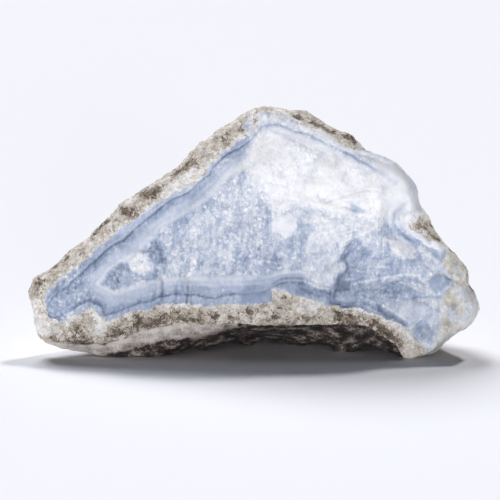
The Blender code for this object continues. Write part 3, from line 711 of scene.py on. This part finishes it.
def describe(points, normals):
    """All that relief and colour need to know about each point, by name."""
    millimetres = points / MM
    right, height, depth = to_face(points)
    bend = 0.22 * noise_over(millimetres, 1.6, 1.0) + 0.10 * noise_over(millimetres, 0.55, 2.0)
    lift = 0.22 * noise_over(millimetres, 1.6, 6.0) + 0.10 * noise_over(millimetres, 0.55, 7.0)
    milk, layer, groove = milk_of_bands(right + 0.6 * bend, height + 0.6 * lift)
    groove *= soft_step(noise_over(millimetres, 2.0, 11.0), -0.55, -0.1)
    groove *= 1.0 - soft_step(right, 2.0, 5.0) * soft_step(-height, -22.0, -18.0)
    core = soft_step(layer, 1.95, 2.15)
    smooth_band = soft_step(layer, 1.25, 1.5) * (1.0 - core)
    fields = np.stack([milk, 0.55 + 0.35 * core - 0.4 * smooth_band, 0.0 * milk, 0.0 * milk])
    fields[1] += 0.45 * soft_step(-right, 29.0, 35.0)
    lay_bodies(BODIES, right + 1.8 * bend, height + 1.8 * lift, fields)
    lay_bodies(QUARTZ_BODIES, right + 2.0 * bend, height + 2.0 * lift, fields)
    draw_lines(LINES, right + 0.6 * bend, height + 0.6 * lift, fields)
    quartz = np.zeros(len(right))
    for _, _, _, _, softness, outline in QUARTZ_BODIES:
        near, cover = cover_of(outline, softness, right + 2.0 * bend, height + 2.0 * lift)
        quartz[near] = np.maximum(quartz[near], cover)
    loose, fibres = free_patterns(millimetres, right, height, core)
    fields[0] += loose + clouds_at(CLOUDS, right + 2.0 * bend, height + 2.0 * lift)
    shoulder = soft_step(right, 20.0, 24.0)
    # painted shade: the rim of the broken face is made less milky, less so on the shoulder and on quartz
    fields[0] -= RIM_PAINTED_SHADE * (1.0 - 0.5 * shoulder) * (1.0 - 0.8 * quartz) * soft_step(depth, -0.15, 0.9)
    fields[2] *= 1.0 + 0.9 * noise_over(millimetres, 2.6, 31.0)
    inside = inside_line(RIND_EDGE, right + 2.6 * bend, height + 2.6 * lift)
    chalcedony = np.maximum(soft_step(inside, -0.12, 0.12), soft_step(quartz, 0.35, 0.65))
    thickness = FACE_THICKNESS + 2.0 * shoulder * soft_step(height, 24.0, 28.0)
    thickness -= 1.8 * (1.0 - shoulder) * soft_step(height, 36.0, 40.0) * soft_step(right, -3.0, 1.0)
    chalcedony *= soft_step(thickness - depth, 0.0, 0.6)
    below_lip = soft_step(np.interp(right, *zip(*LIP)) - height - lift, -0.12, 0.12)
    faces_down = soft_step(-normals[:, 2] + 0.12 * noise_over(millimetres, 2.5, 4.0), 0.2, 0.45)
    faces_down *= soft_step(-millimetres[:, 2] + lift, -6.2, -4.8)
    in_front = soft_step(-depth, -11.0, -7.0)
    skin = (in_front * below_lip + (1.0 - in_front) * faces_down) * (1.0 - chalcedony)
    return {
        "right": right, "height": height, "depth": depth, "inside": inside, "groove": groove,
        "milk": fields[0], "frost": np.clip(fields[1], 0.0, 1.0), "warmth": fields[2], "level": fields[3],
        "fibres": fibres, "chalcedony": chalcedony, "skin": skin, "rind": 1.0 - chalcedony - skin,
    }


points, normals = read_points(stone.data)
told = describe(points, normals)
for stuff in ("chalcedony", "rind", "skin"):
    print("share of", stuff, round(float(told[stuff].mean()), 2))

# %% [markdown]
# Relief comes next, as real geometry. The rind is a crust of quartz grains, so it gets three sizes of rounded
# cells. The frosted parts broke across crystals, so they get small cells too, but shallow ones. The bands
# broke smooth, apart from a fine groove where the hairline lets the layers part. The skin underneath has
# streaky ridges. Points on the floor stay where they are, so that the stone still stands flat.

# %% Fine relief
GRAIN_HEIGHTS = [(2.6, 0.30), (1.4, 0.30), (0.75, 0.22)]
FROST_HEIGHTS = [(1.3, 0.10), (0.7, 0.09)]
GROOVE_DEPTH = 0.14
FIBRE_HEIGHT = 0.05
STREAK_HEIGHT = 0.40


def heap_of_cells(millimetres, heights):
    """Rounded grains of several widths and heights, in millimetres."""
    return sum(tall * (0.45 - cells_over(millimetres, wide, 3.0 * wide)) for wide, tall in heights)


millimetres = points / MM
grains = heap_of_cells(millimetres, GRAIN_HEIGHTS)
frost = heap_of_cells(millimetres, FROST_HEIGHTS) * told["frost"]
frost += told["level"] - GROOVE_DEPTH * told["groove"] + FIBRE_HEIGHT * told["fibres"]
streaks = STREAK_HEIGHT * noise_over(millimetres, 2.2, 3.0, (0.6, 0.8, 1.0)) + 0.4 * grains
relief = (told["chalcedony"] * frost + told["rind"] * grains + told["skin"] * streaks) * MM
relief *= soft_step(millimetres[:, 2], 0.05, 0.8)
points += normals * relief[:, None]
points[:, 2] = np.maximum(points[:, 2], 0.0)
stone.data.vertices.foreach_set("co", points.ravel())
stone.data.update()
print("relief runs from", round(relief.min() / MM, 2), "to", round(relief.max() / MM, 2), "mm")

# %% [markdown]
# A piece should stay light enough to handle, so a Decimate modifier takes faces out where the surface is
# nearly flat. A vertex group spares the broken face, which is what the eye reads first: the back gives up
# most of the faces.

# %% Thin the mesh
MOST_TRIANGLES = 196000
SPARED_DEPTH = 3.5

group = stone.vertex_groups.new(name="thin here")
for weight, chosen in ((1.0, told["depth"] > SPARED_DEPTH), (0.0, told["depth"] <= SPARED_DEPTH)):
    group.add(np.flatnonzero(chosen).tolist(), weight, "REPLACE")
triangles = 2 * len(stone.data.polygons)
thinner = stone.modifiers.new("thinner", "DECIMATE")
thinner.ratio = min(1.0, MOST_TRIANGLES / triangles)
thinner.use_collapse_triangulate = True
thinner.vertex_group = group.name
thinner.vertex_group_factor = 0.4
with_modifiers(stone)
stone.vertex_groups.clear()
print("thinned from", triangles, "to", len(stone.data.polygons), "triangles")

# %% [markdown]
# What the colours need is stored with the thinned mesh, one number per vertex under a name that the materials
# can read. The rind gets one more number: brown iron spots above 0, white crystals below 0, and painted shade
# in the pits between its grains. Towards the chalcedony its grains turn white.

# %% Numbers for the materials
RUST_SPOTS = [
    (-42.6, 15.6, 1.0, 0.8, 0.0, 0.8),
    (-40.2, 18.2, 1.4, 0.5, 35.0, 0.7),
    (-37.4, 20.2, 1.4, 0.7, 35.0, 0.7),
    (-31.6, 25.2, 1.2, 0.5, 48.0, 1.0),
    (-29.4, 27.2, 1.4, 0.4, 35.0, 0.8),
    (-25.4, 29.5, 1.1, 0.9, -20.0, 0.8),
    (-23.6, 28.6, 1.2, 1.2, 0.0, 0.8),
    (-20.8, 33.2, 1.6, 0.9, 10.0, 1.1),
    (-18.8, 33.8, 1.0, 0.8, 0.0, 0.8),
    (-19.2, 31.9, 0.9, 0.7, 0.0, 0.8),
    (-15.4, 36.9, 1.8, 0.5, 38.0, 0.9),
    (-12.9, 38.4, 1.2, 0.8, 40.0, 0.9),
    (-11.6, 38.8, 1.3, 0.8, 0.0, 0.9),
    (-12.6, 36.4, 0.6, 0.8, 0.0, 1.0),
    (-6.2, 43.6, 1.5, 0.6, 35.0, 0.6),
    (-2.2, 45.9, 1.2, 0.7, 30.0, 0.8),
    (8.8, 48.1, 1.2, 0.6, -10.0, 1.0),
    (11.8, 47.1, 1.4, 0.5, -25.0, 1.0),
    (13.8, 46.3, 1.0, 0.5, -25.0, 1.0),
    (15.8, 45.1, 1.2, 0.5, -20.0, 1.0),
    (18.8, 44.2, 1.6, 0.6, -15.0, 1.1),
    (20.2, 42.8, 1.6, 0.7, -25.0, 0.8),
    (34.0, 26.2, 1.6, 0.35, -30.0, 1.0),
    (36.0, 24.6, 1.6, 0.35, -25.0, 1.0),
    (37.2, 23.9, 1.0, 0.4, -30.0, 0.9),
    (35.2, 27.0, 1.0, 0.6, 0.0, 0.6),
    (39.8, 21.6, 0.9, 0.6, -40.0, 0.9),
    (42.2, 16.6, 0.6, 0.8, 0.0, 0.8),
    (44.2, 13.3, 0.3, 1.2, 25.0, 0.8),
    (-27.6, 5.4, 2.4, 1.2, 20.0, 0.7),
    (-22.6, 7.6, 1.6, 1.2, 10.0, 0.8),
    (-19.8, 7.5, 1.5, 0.6, 5.0, 1.2),
    (-15.6, 8.7, 2.2, 0.9, 0.0, 0.9),
    (-12.6, 7.9, 1.8, 0.5, 0.0, 0.9),
    (-7.4, 8.7, 0.8, 0.7, 0.0, 0.9),
    (-4.0, 8.2, 1.6, 0.5, 0.0, 0.7),
    (-0.8, 9.9, 1.3, 0.9, 0.0, 0.7),
    (4.4, 8.5, 0.8, 0.5, 0.0, 0.8),
    (5.8, 10.3, 0.9, 0.6, 0.0, 0.7),
    (6.2, 12.3, 0.7, 0.5, 0.0, 1.1),
    (11.0, 8.3, 1.6, 0.5, 0.0, 0.7),
    (16.8, 9.1, 1.0, 1.2, 0.0, 0.9),
    (19.8, 8.3, 1.5, 0.8, 0.0, 0.7),
    (18.4, 7.6, 2.2, 0.9, 0.0, 0.3),
    (22.6, 7.3, 2.2, 0.8, -12.0, 0.5),
    (25.8, 6.2, 2.4, 0.9, -35.0, 0.8),
    (28.6, 3.9, 1.8, 0.7, -40.0, 0.8),
    (-35.2, 5.9, 1.8, 1.2, 0.0, 0.5),
    (-40.0, 4.2, 1.4, 0.5, -25.0, 0.9),
    (-34.6, 3.6, 2.5, 0.4, 0.0, 0.8),
    (-38.6, 6.9, 2.0, 1.2, 0.0, -0.1),
    (-20.5, 9.2, 6.5, 1.3, 5.0, 0.22),
    (-0.5, 9.6, 5.0, 1.2, 0.0, 0.12),
    (-30.4, 6.4, 1.2, 2.6, 5.0, -1.2),
    (-13.6, 35.6, 4.2, 1.0, 38.0, -1.6),
    (-18.0, 32.6, 1.6, 0.7, 30.0, -0.8),
    (-24.6, 31.6, 1.0, 0.5, 30.0, -0.7),
    (-5.4, 41.2, 2.4, 0.6, 42.0, -0.6),
    (0.2, 48.4, 2.6, 2.0, 40.0, -0.3),
    (27.6, 39.6, 5.0, 1.4, -35.0, -0.9),
    (33.2, 34.6, 2.0, 4.0, 20.0, -0.9),
    (35.4, 29.4, 1.6, 1.6, 0.0, -1.2),
    (-43.4, 8.6, 2.0, 3.6, 0.0, -0.8),
    (-41.6, 6.0, 2.0, 1.2, 0.0, -0.6),
    (31.6, 27.6, 0.8, 0.8, 0.0, -0.8),
    (-13.6, 10.9, 1.4, 0.5, 0.0, -0.4),
    (-4.0, 10.3, 1.1, 0.8, 0.0, -0.5),
    (9.4, 9.8, 2.2, 1.2, 0.0, -0.5),
    (12.4, 10.4, 2.0, 1.0, -15.0, -0.4),
    (18.4, 10.9, 1.0, 0.5, 0.0, -0.5),
    (22.4, 10.3, 1.8, 0.8, -10.0, -0.6),
    (31.4, 3.0, 1.5, 1.0, -40.0, -0.4),
    (26.6, 8.4, 2.6, 0.6, -32.0, -0.6),
    (30.4, 5.6, 1.8, 0.6, -45.0, -0.6),
    (45.0, 10.6, 1.4, 5.0, 0.0, -0.6),
    (-31.6, 22.8, 1.4, 0.7, 40.0, -0.4),
    (-28.6, 26.7, 1.2, 0.7, 40.0, -0.2),
]
RUSTY_LIP = 0.14
WHITE_FRINGE = 0.45
FRINGE_WIDTH = 0.9
# How much grain tops turn paler and pits browner: partly white quartz standing proud, partly painted shade in the
# pits
PALE_TOPS_AND_PIT_SHADE = 0.9
BACK_STAIN = 0.12
BACK_STAINS = [(9.0, 0.75), (3.0, 0.5)]
LEAST_STAIN = -0.1
LEDGE_FADES = 0.38


def write_values(mesh, name, values):
    """Stores one number per vertex under a name that a material can read."""
    mesh.attributes.new(name, "FLOAT", "POINT").data.foreach_set("value", values.astype(np.float32))


points, normals = read_points(stone.data)
told = describe(points, normals)
millimetres = points / MM
on_face = soft_step(-told["depth"], -6.0, -3.5)
fringe = WHITE_FRINGE * np.exp(-((told["inside"] / FRINGE_WIDTH) ** 2)) * on_face
rough_bend = 0.5 * noise_over(millimetres, 1.1, 21.0)
rough_lift = 0.5 * noise_over(millimetres, 1.1, 26.0)
rust_and_pit_shade = on_face * clouds_at(RUST_SPOTS, told["right"] + rough_bend, told["height"] + rough_lift) - fringe
# Paler grain tops and browner pits that follow the relief: partly white quartz standing proud, partly painted shade
# in the pits
rust_and_pit_shade -= PALE_TOPS_AND_PIT_SHADE * heap_of_cells(millimetres, GRAIN_HEIGHTS)
stain = BACK_STAIN + sum(strong * noise_over(millimetres, wide, 41.0) for wide, strong in BACK_STAINS)
rust_and_pit_shade += (1.0 - on_face) * np.maximum(stain, LEAST_STAIN)
above_lip = told["height"] - np.interp(told["right"], *zip(*LIP))
rust_and_pit_shade += RUSTY_LIP * on_face * soft_step(-above_lip, -3.2, -0.8)
# painted light: the ledge is paler, strongest just under the lip, only near the face, and weaker to the right
near, ledge_cover = cover_of(LEDGE, 0.7, told["right"] + rough_bend, told["height"] + 0.6 * rough_lift)
painted_ledge_light = np.zeros(len(points))
painted_ledge_light[near] = ledge_cover
for name in ("milk", "frost", "warmth"):
    write_values(stone.data, name, told[name])
write_values(stone.data, "rust_and_pit_shade", rust_and_pit_shade)
painted_ledge_light *= (0.5 + 0.5 * np.exp(np.minimum(above_lip, 0.0) / 0.9)) * soft_step(-told["depth"], -9.0, -5.0)
painted_ledge_light *= 1.0 - LEDGE_FADES * soft_step(told["right"], -20.0, -5.0)
write_values(stone.data, "painted_ledge_light", painted_ledge_light)
print("milkiness runs from", round(float(told["milk"].min()), 2), "to", round(float(told["milk"].max()), 2))

# %% [markdown]
# The chalcedony's material turns milkiness into colour. Where the stone is frosted it adds crystals: cells of
# their own tone, fine grain, and white flecks that are painted glints. Warm quartz has a second row of colours.
# Chalcedony has a waxy to dull lustre and lets some light in, so it gets a little subsurface scattering.

# %% Frosted blue chalcedony
CRYSTAL_MM = 1.1
CHIP_MM = 0.55
VEIN_MM = 1.0
GRAIN_MM = 0.35
GLINT_MM = 0.5


def per_mm(size):
    """The scale of a texture whose features are this many millimetres wide."""
    return 1.0 / (size * MM)


def value_of(tree, name):
    """The socket of a stored number."""
    return add_node(tree, "ShaderNodeAttribute", attribute_name=name).outputs["Fac"]


def sum_of(tree, terms):
    """Adds up sockets, each times its own factor after an offset: (socket, offset, factor)."""
    total = 0.0
    for socket, offset, factor in terms:
        moved = add_node(tree, "ShaderNodeMath", {0: socket, 1: offset}, operation="ADD").outputs[0]
        total = add_node(
            tree, "ShaderNodeMath", {0: moved, 1: factor, 2: total}, operation="MULTIPLY_ADD"
        ).outputs[0]
    return total


def crumpled(tree, place, size, amount):
    """A place moved about by noise of this size, by up to about half this amount, both in millimetres."""
    ruffle = add_node(tree, "ShaderNodeTexNoise", {"Vector": place, "Scale": per_mm(size), "Detail": 2.0})
    centred = add_node(
        tree, "ShaderNodeVectorMath", {0: ruffle.outputs["Color"], 1: (0.5, 0.5, 0.5)}, operation="SUBTRACT"
    )
    push = (amount * MM, amount * MM, amount * MM)
    return add_node(
        tree, "ShaderNodeVectorMath", {0: centred.outputs[0], 1: push, 2: place}, operation="MULTIPLY_ADD"
    ).outputs[0]


chalcedony_material, tree = new_material("frosted blue chalcedony")
place = add_node(tree, "ShaderNodeTexCoord").outputs["Object"]
ruffled = crumpled(tree, place, 0.8, 0.8)
upright = add_node(tree, "ShaderNodeMapping", {"Vector": ruffled, "Scale": (1.0, 1.0, 0.5)}).outputs[0]
crystal = add_node(tree, "ShaderNodeTexVoronoi", {"Vector": upright, "Scale": per_mm(CRYSTAL_MM)})
tone = add_node(tree, "ShaderNodeSeparateColor", {0: crystal.outputs["Color"]})
chip = add_node(tree, "ShaderNodeTexVoronoi", {"Vector": upright, "Scale": per_mm(CHIP_MM)})
chip_tone = add_node(tree, "ShaderNodeSeparateColor", {0: chip.outputs["Color"]})
grain = add_node(tree, "ShaderNodeTexNoise", {"Vector": place, "Scale": per_mm(GRAIN_MM), "Detail": 2.0})
ground = add_node(tree, "ShaderNodeTexNoise", {"Vector": upright, "Scale": per_mm(VEIN_MM), "Detail": 4.0})
vein = add_node(
    tree, "ShaderNodeValToRGB", {"Fac": ground.outputs[0]}, stops=[(0.44, 0.0), (0.5, 1.0), (0.56, 0.0)]
)
# painted glints: sparse white flecks stand in for light caught by crystal facets
glint = add_node(tree, "ShaderNodeTexVoronoi", {"Vector": place, "Scale": per_mm(GLINT_MM)})
glint_tone = add_node(tree, "ShaderNodeSeparateColor", {0: glint.outputs["Color"]})
white = add_node(tree, "ShaderNodeValToRGB", {"Fac": glint_tone.outputs[1]}, stops=[(0.86, 0.0), (0.88, 1.0)])
crystals = sum_of(
    tree,
    [
        (tone.outputs[0], -0.5, 0.20),
        (chip_tone.outputs[0], -0.5, 0.24),
        (vein.outputs[0], -0.4, 0.14),
        (white.outputs[0], -0.13, 0.22),
        (ground.outputs[0], -0.5, 0.20),
        (grain.outputs[0], -0.5, 0.28),
    ],
)
frosted = add_node(
    tree, "ShaderNodeMath", {0: crystals, 1: value_of(tree, "frost")}, operation="MULTIPLY"
).outputs[0]
milky = sum_of(
    tree,
    [
        (value_of(tree, "milk"), 0.0, 1.0),
        (frosted, 0.0, 1.0),
        (grain.outputs[0], -0.5, 0.16),
        (ground.outputs[0], -0.5, 0.12),
    ],
)
cool = add_node(
    tree,
    "ShaderNodeValToRGB",
    {"Fac": milky},
    stops=[
        (0.0, "66748E"), (0.2, "8A99B4"), (0.4, "A4B2CB"), (0.52, "B8C3D6"), (0.66, "D1D7E3"), (0.86, "EDEEF3"),
        (1.0, "FAFAFB"),
    ],
)
warm = add_node(
    tree,
    "ShaderNodeValToRGB",
    {"Fac": milky},
    stops=[(0.0, "6E6556"), (0.3, "A59D8E"), (0.6, "CFCBBF"), (0.85, "EDEAE3"), (1.0, "F8F7F4")],
)
patchy = sum_of(tree, [(value_of(tree, "warmth"), 0.0, 1.0), (ground.outputs[0], -0.5, 1.2)])
some_warmth = add_node(
    tree, "ShaderNodeMath", {0: patchy, 1: value_of(tree, "warmth")}, operation="MULTIPLY", use_clamp=True
).outputs[0]
colour = add_node(
    tree, "ShaderNodeMix", {0: some_warmth, 6: cool.outputs[0], 7: warm.outputs[0]}, data_type="RGBA"
)
facets = add_node(
    tree, "ShaderNodeMath", {0: chip.outputs["Distance"], 1: value_of(tree, "frost")}, operation="MULTIPLY"
)
bump = add_node(
    tree,
    "ShaderNodeBump",
    {
        "Height": sum_of(tree, [(facets.outputs[0], 0.0, 1.0), (ground.outputs[0], -0.5, 0.8)]),
        "Strength": 0.5,
        "Distance": 0.14 * MM,
    },
)
shader = add_node(
    tree,
    "ShaderNodeBsdfPrincipled",
    {
        "Base Color": colour.outputs[2],
        "Roughness": 0.42,
        "IOR": 1.54,
        "Normal": bump.outputs[0],
        "Subsurface Weight": 0.15,
        "Subsurface Radius": (0.8, 0.9, 1.0),
        "Subsurface Scale": 0.5 * MM,
    },
)
add_node(tree, "ShaderNodeOutputMaterial", {"Surface": shader.outputs[0]})

# %% [markdown]
# The rind is a crust of coarse quartz grains, stained beige and brown by iron. A cell pattern gives every
# grain a tone of its own, noise in three sizes mottles them, and the stored number of iron stain and painted
# pit shade shifts the choice towards dark brown or white.

# %% Iron-stained quartz grit
GRIT_MM = 1.0
CRUMB_MM = 0.5
PATCH_MM = 3.5
SPECK_MM = 0.35

grit_material, tree = new_material("iron-stained quartz grit")
place = add_node(tree, "ShaderNodeTexCoord").outputs["Object"]
ruffled = crumpled(tree, place, 0.7, 1.8)
grit = add_node(tree, "ShaderNodeTexVoronoi", {"Vector": ruffled, "Scale": per_mm(GRIT_MM)})
tone = add_node(tree, "ShaderNodeSeparateColor", {0: grit.outputs["Color"]})
crumb = add_node(tree, "ShaderNodeTexVoronoi", {"Vector": ruffled, "Scale": per_mm(CRUMB_MM)})
crumb_tone = add_node(tree, "ShaderNodeSeparateColor", {0: crumb.outputs["Color"]})
patch = add_node(tree, "ShaderNodeTexNoise", {"Vector": place, "Scale": per_mm(PATCH_MM), "Detail": 5.0})
speck = add_node(tree, "ShaderNodeTexNoise", {"Vector": place, "Scale": per_mm(SPECK_MM), "Detail": 2.0})
pit = add_node(tree, "ShaderNodeValToRGB", {"Fac": grit.outputs["Distance"]}, stops=[(0.45, 0.0), (0.75, 1.0)])
# The stored iron stain and painted pit shade, spread by the grains' own tones
rust_tone_and_pit_shade = sum_of(
    tree,
    [(value_of(tree, "rust_and_pit_shade"), 0.0, 1.0), (crumb_tone.outputs[0], -0.5, 0.45), (speck.outputs[0], -0.5, 0.75)],
)
brown = add_node(tree, "ShaderNodeValToRGB", {"Fac": rust_tone_and_pit_shade}, stops=[(0.28, 0.0), (0.62, 1.0)])
whiteness = add_node(tree, "ShaderNodeMath", {0: rust_tone_and_pit_shade, 1: -1.0}, operation="MULTIPLY")
white = add_node(tree, "ShaderNodeValToRGB", {"Fac": whiteness.outputs[0]}, stops=[(0.1, 0.0), (0.6, 1.0)])
stain = sum_of(
    tree,
    [
        (tone.outputs[0], -0.5, 0.24),
        (crumb_tone.outputs[0], -0.5, 0.16),
        (patch.outputs[0], -0.5, 0.4),
        (speck.outputs[0], -0.5, 0.24),
        (pit.outputs[0], 2.5, 0.14),
        (brown.outputs[0], 0.0, 0.36),
        (white.outputs[0], 0.0, -0.28),
    ],
)
colour = add_node(
    tree,
    "ShaderNodeValToRGB",
    {"Fac": stain},
    stops=[
        (0.0, "F6F4F3"), (0.2, "E6E1DB"), (0.36, "D3CBC0"), (0.5, "BBB0A2"), (0.65, "96897A"), (0.8, "6C5F53"),
        (1.0, "453A32"),
    ],
)
bump = add_node(
    tree,
    "ShaderNodeBump",
    {
        "Height": sum_of(tree, [(crumb.outputs["Distance"], 0.0, -1.0), (speck.outputs[0], -0.5, 0.5)]),
        "Strength": 0.7,
        "Distance": 0.18 * MM,
    },
)
shader = add_node(
    tree,
    "ShaderNodeBsdfPrincipled",
    {"Base Color": colour.outputs[0], "Roughness": 0.62, "IOR": 1.54, "Normal": bump.outputs[0]},
)
add_node(tree, "ShaderNodeOutputMaterial", {"Surface": shader.outputs[0]})

# %% [markdown]
# The skin underneath is the wall of the old hollow, weathered dark by iron and manganese. It is dull, with
# paler streaks along its ridges, partly its own tone and partly painted highlights. On the left its grey ledge
# is painted paler as painted light, strongest just under the lip.

# %% Weathered dark skin
skin_material, tree = new_material("weathered iron-manganese skin")
place = add_node(tree, "ShaderNodeTexCoord").outputs["Object"]
drawn_out = add_node(tree, "ShaderNodeMapping", {"Vector": place, "Scale": (0.6, 0.8, 1.0)})
streak = add_node(
    tree, "ShaderNodeTexNoise", {"Vector": drawn_out.outputs[0], "Scale": per_mm(1.4), "Detail": 5.0}
)
dust = add_node(tree, "ShaderNodeTexNoise", {"Vector": place, "Scale": per_mm(0.4), "Detail": 2.0})
# The streaks share the bump's noise, so the ridges are paler: partly the skin's own streaky tone, partly painted
# highlights. The ledge adds painted light.
paleness_and_painted_light = sum_of(
    tree, [(streak.outputs[0], 0.0, 1.0), (dust.outputs[0], -0.5, 0.5), (value_of(tree, "painted_ledge_light"), 0.0, 0.67)]
)
colour = add_node(
    tree,
    "ShaderNodeValToRGB",
    {"Fac": paleness_and_painted_light},
    stops=[(0.41, "1D1817"), (0.53, "473D3A"), (0.63, "857B75"), (0.82, "B3AAA4"), (1.0, "D8D2CC")],
)
bump = add_node(
    tree, "ShaderNodeBump", {"Height": streak.outputs[0], "Strength": 0.6, "Distance": 0.15 * MM}
)
shader = add_node(
    tree,
    "ShaderNodeBsdfPrincipled",
    {"Base Color": colour.outputs[0], "Roughness": 0.8, "IOR": 1.5, "Normal": bump.outputs[0]},
)
add_node(tree, "ShaderNodeOutputMaterial", {"Surface": shader.outputs[0]})

# %% [markdown]
# Each face takes the material of the stuff that its corners are mostly made of. The wandering edge between
# two of them is as gritty as on the real stone, because the faces are no wider than the grains.

# %% Dress the stone
corners = np.empty(len(stone.data.loops), int)
stone.data.loops.foreach_get("vertex_index", corners)
corners = corners.reshape(-1, 3)
shares = np.stack([told[stuff][corners].mean(1) for stuff in ("chalcedony", "rind", "skin")])
for material in (chalcedony_material, grit_material, skin_material):
    stone.data.materials.append(material)
stone.data.polygons.foreach_set("material_index", shares.argmax(0).astype(np.int32))
stone.data.polygons.foreach_set("use_smooth", np.ones(len(stone.data.polygons), bool))
stone.data.update()
print("faces of chalcedony, rind and skin:", np.bincount(shares.argmax(0)).tolist())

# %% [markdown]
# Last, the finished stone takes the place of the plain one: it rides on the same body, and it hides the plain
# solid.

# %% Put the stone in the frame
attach(stone, "root")
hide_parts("stone")
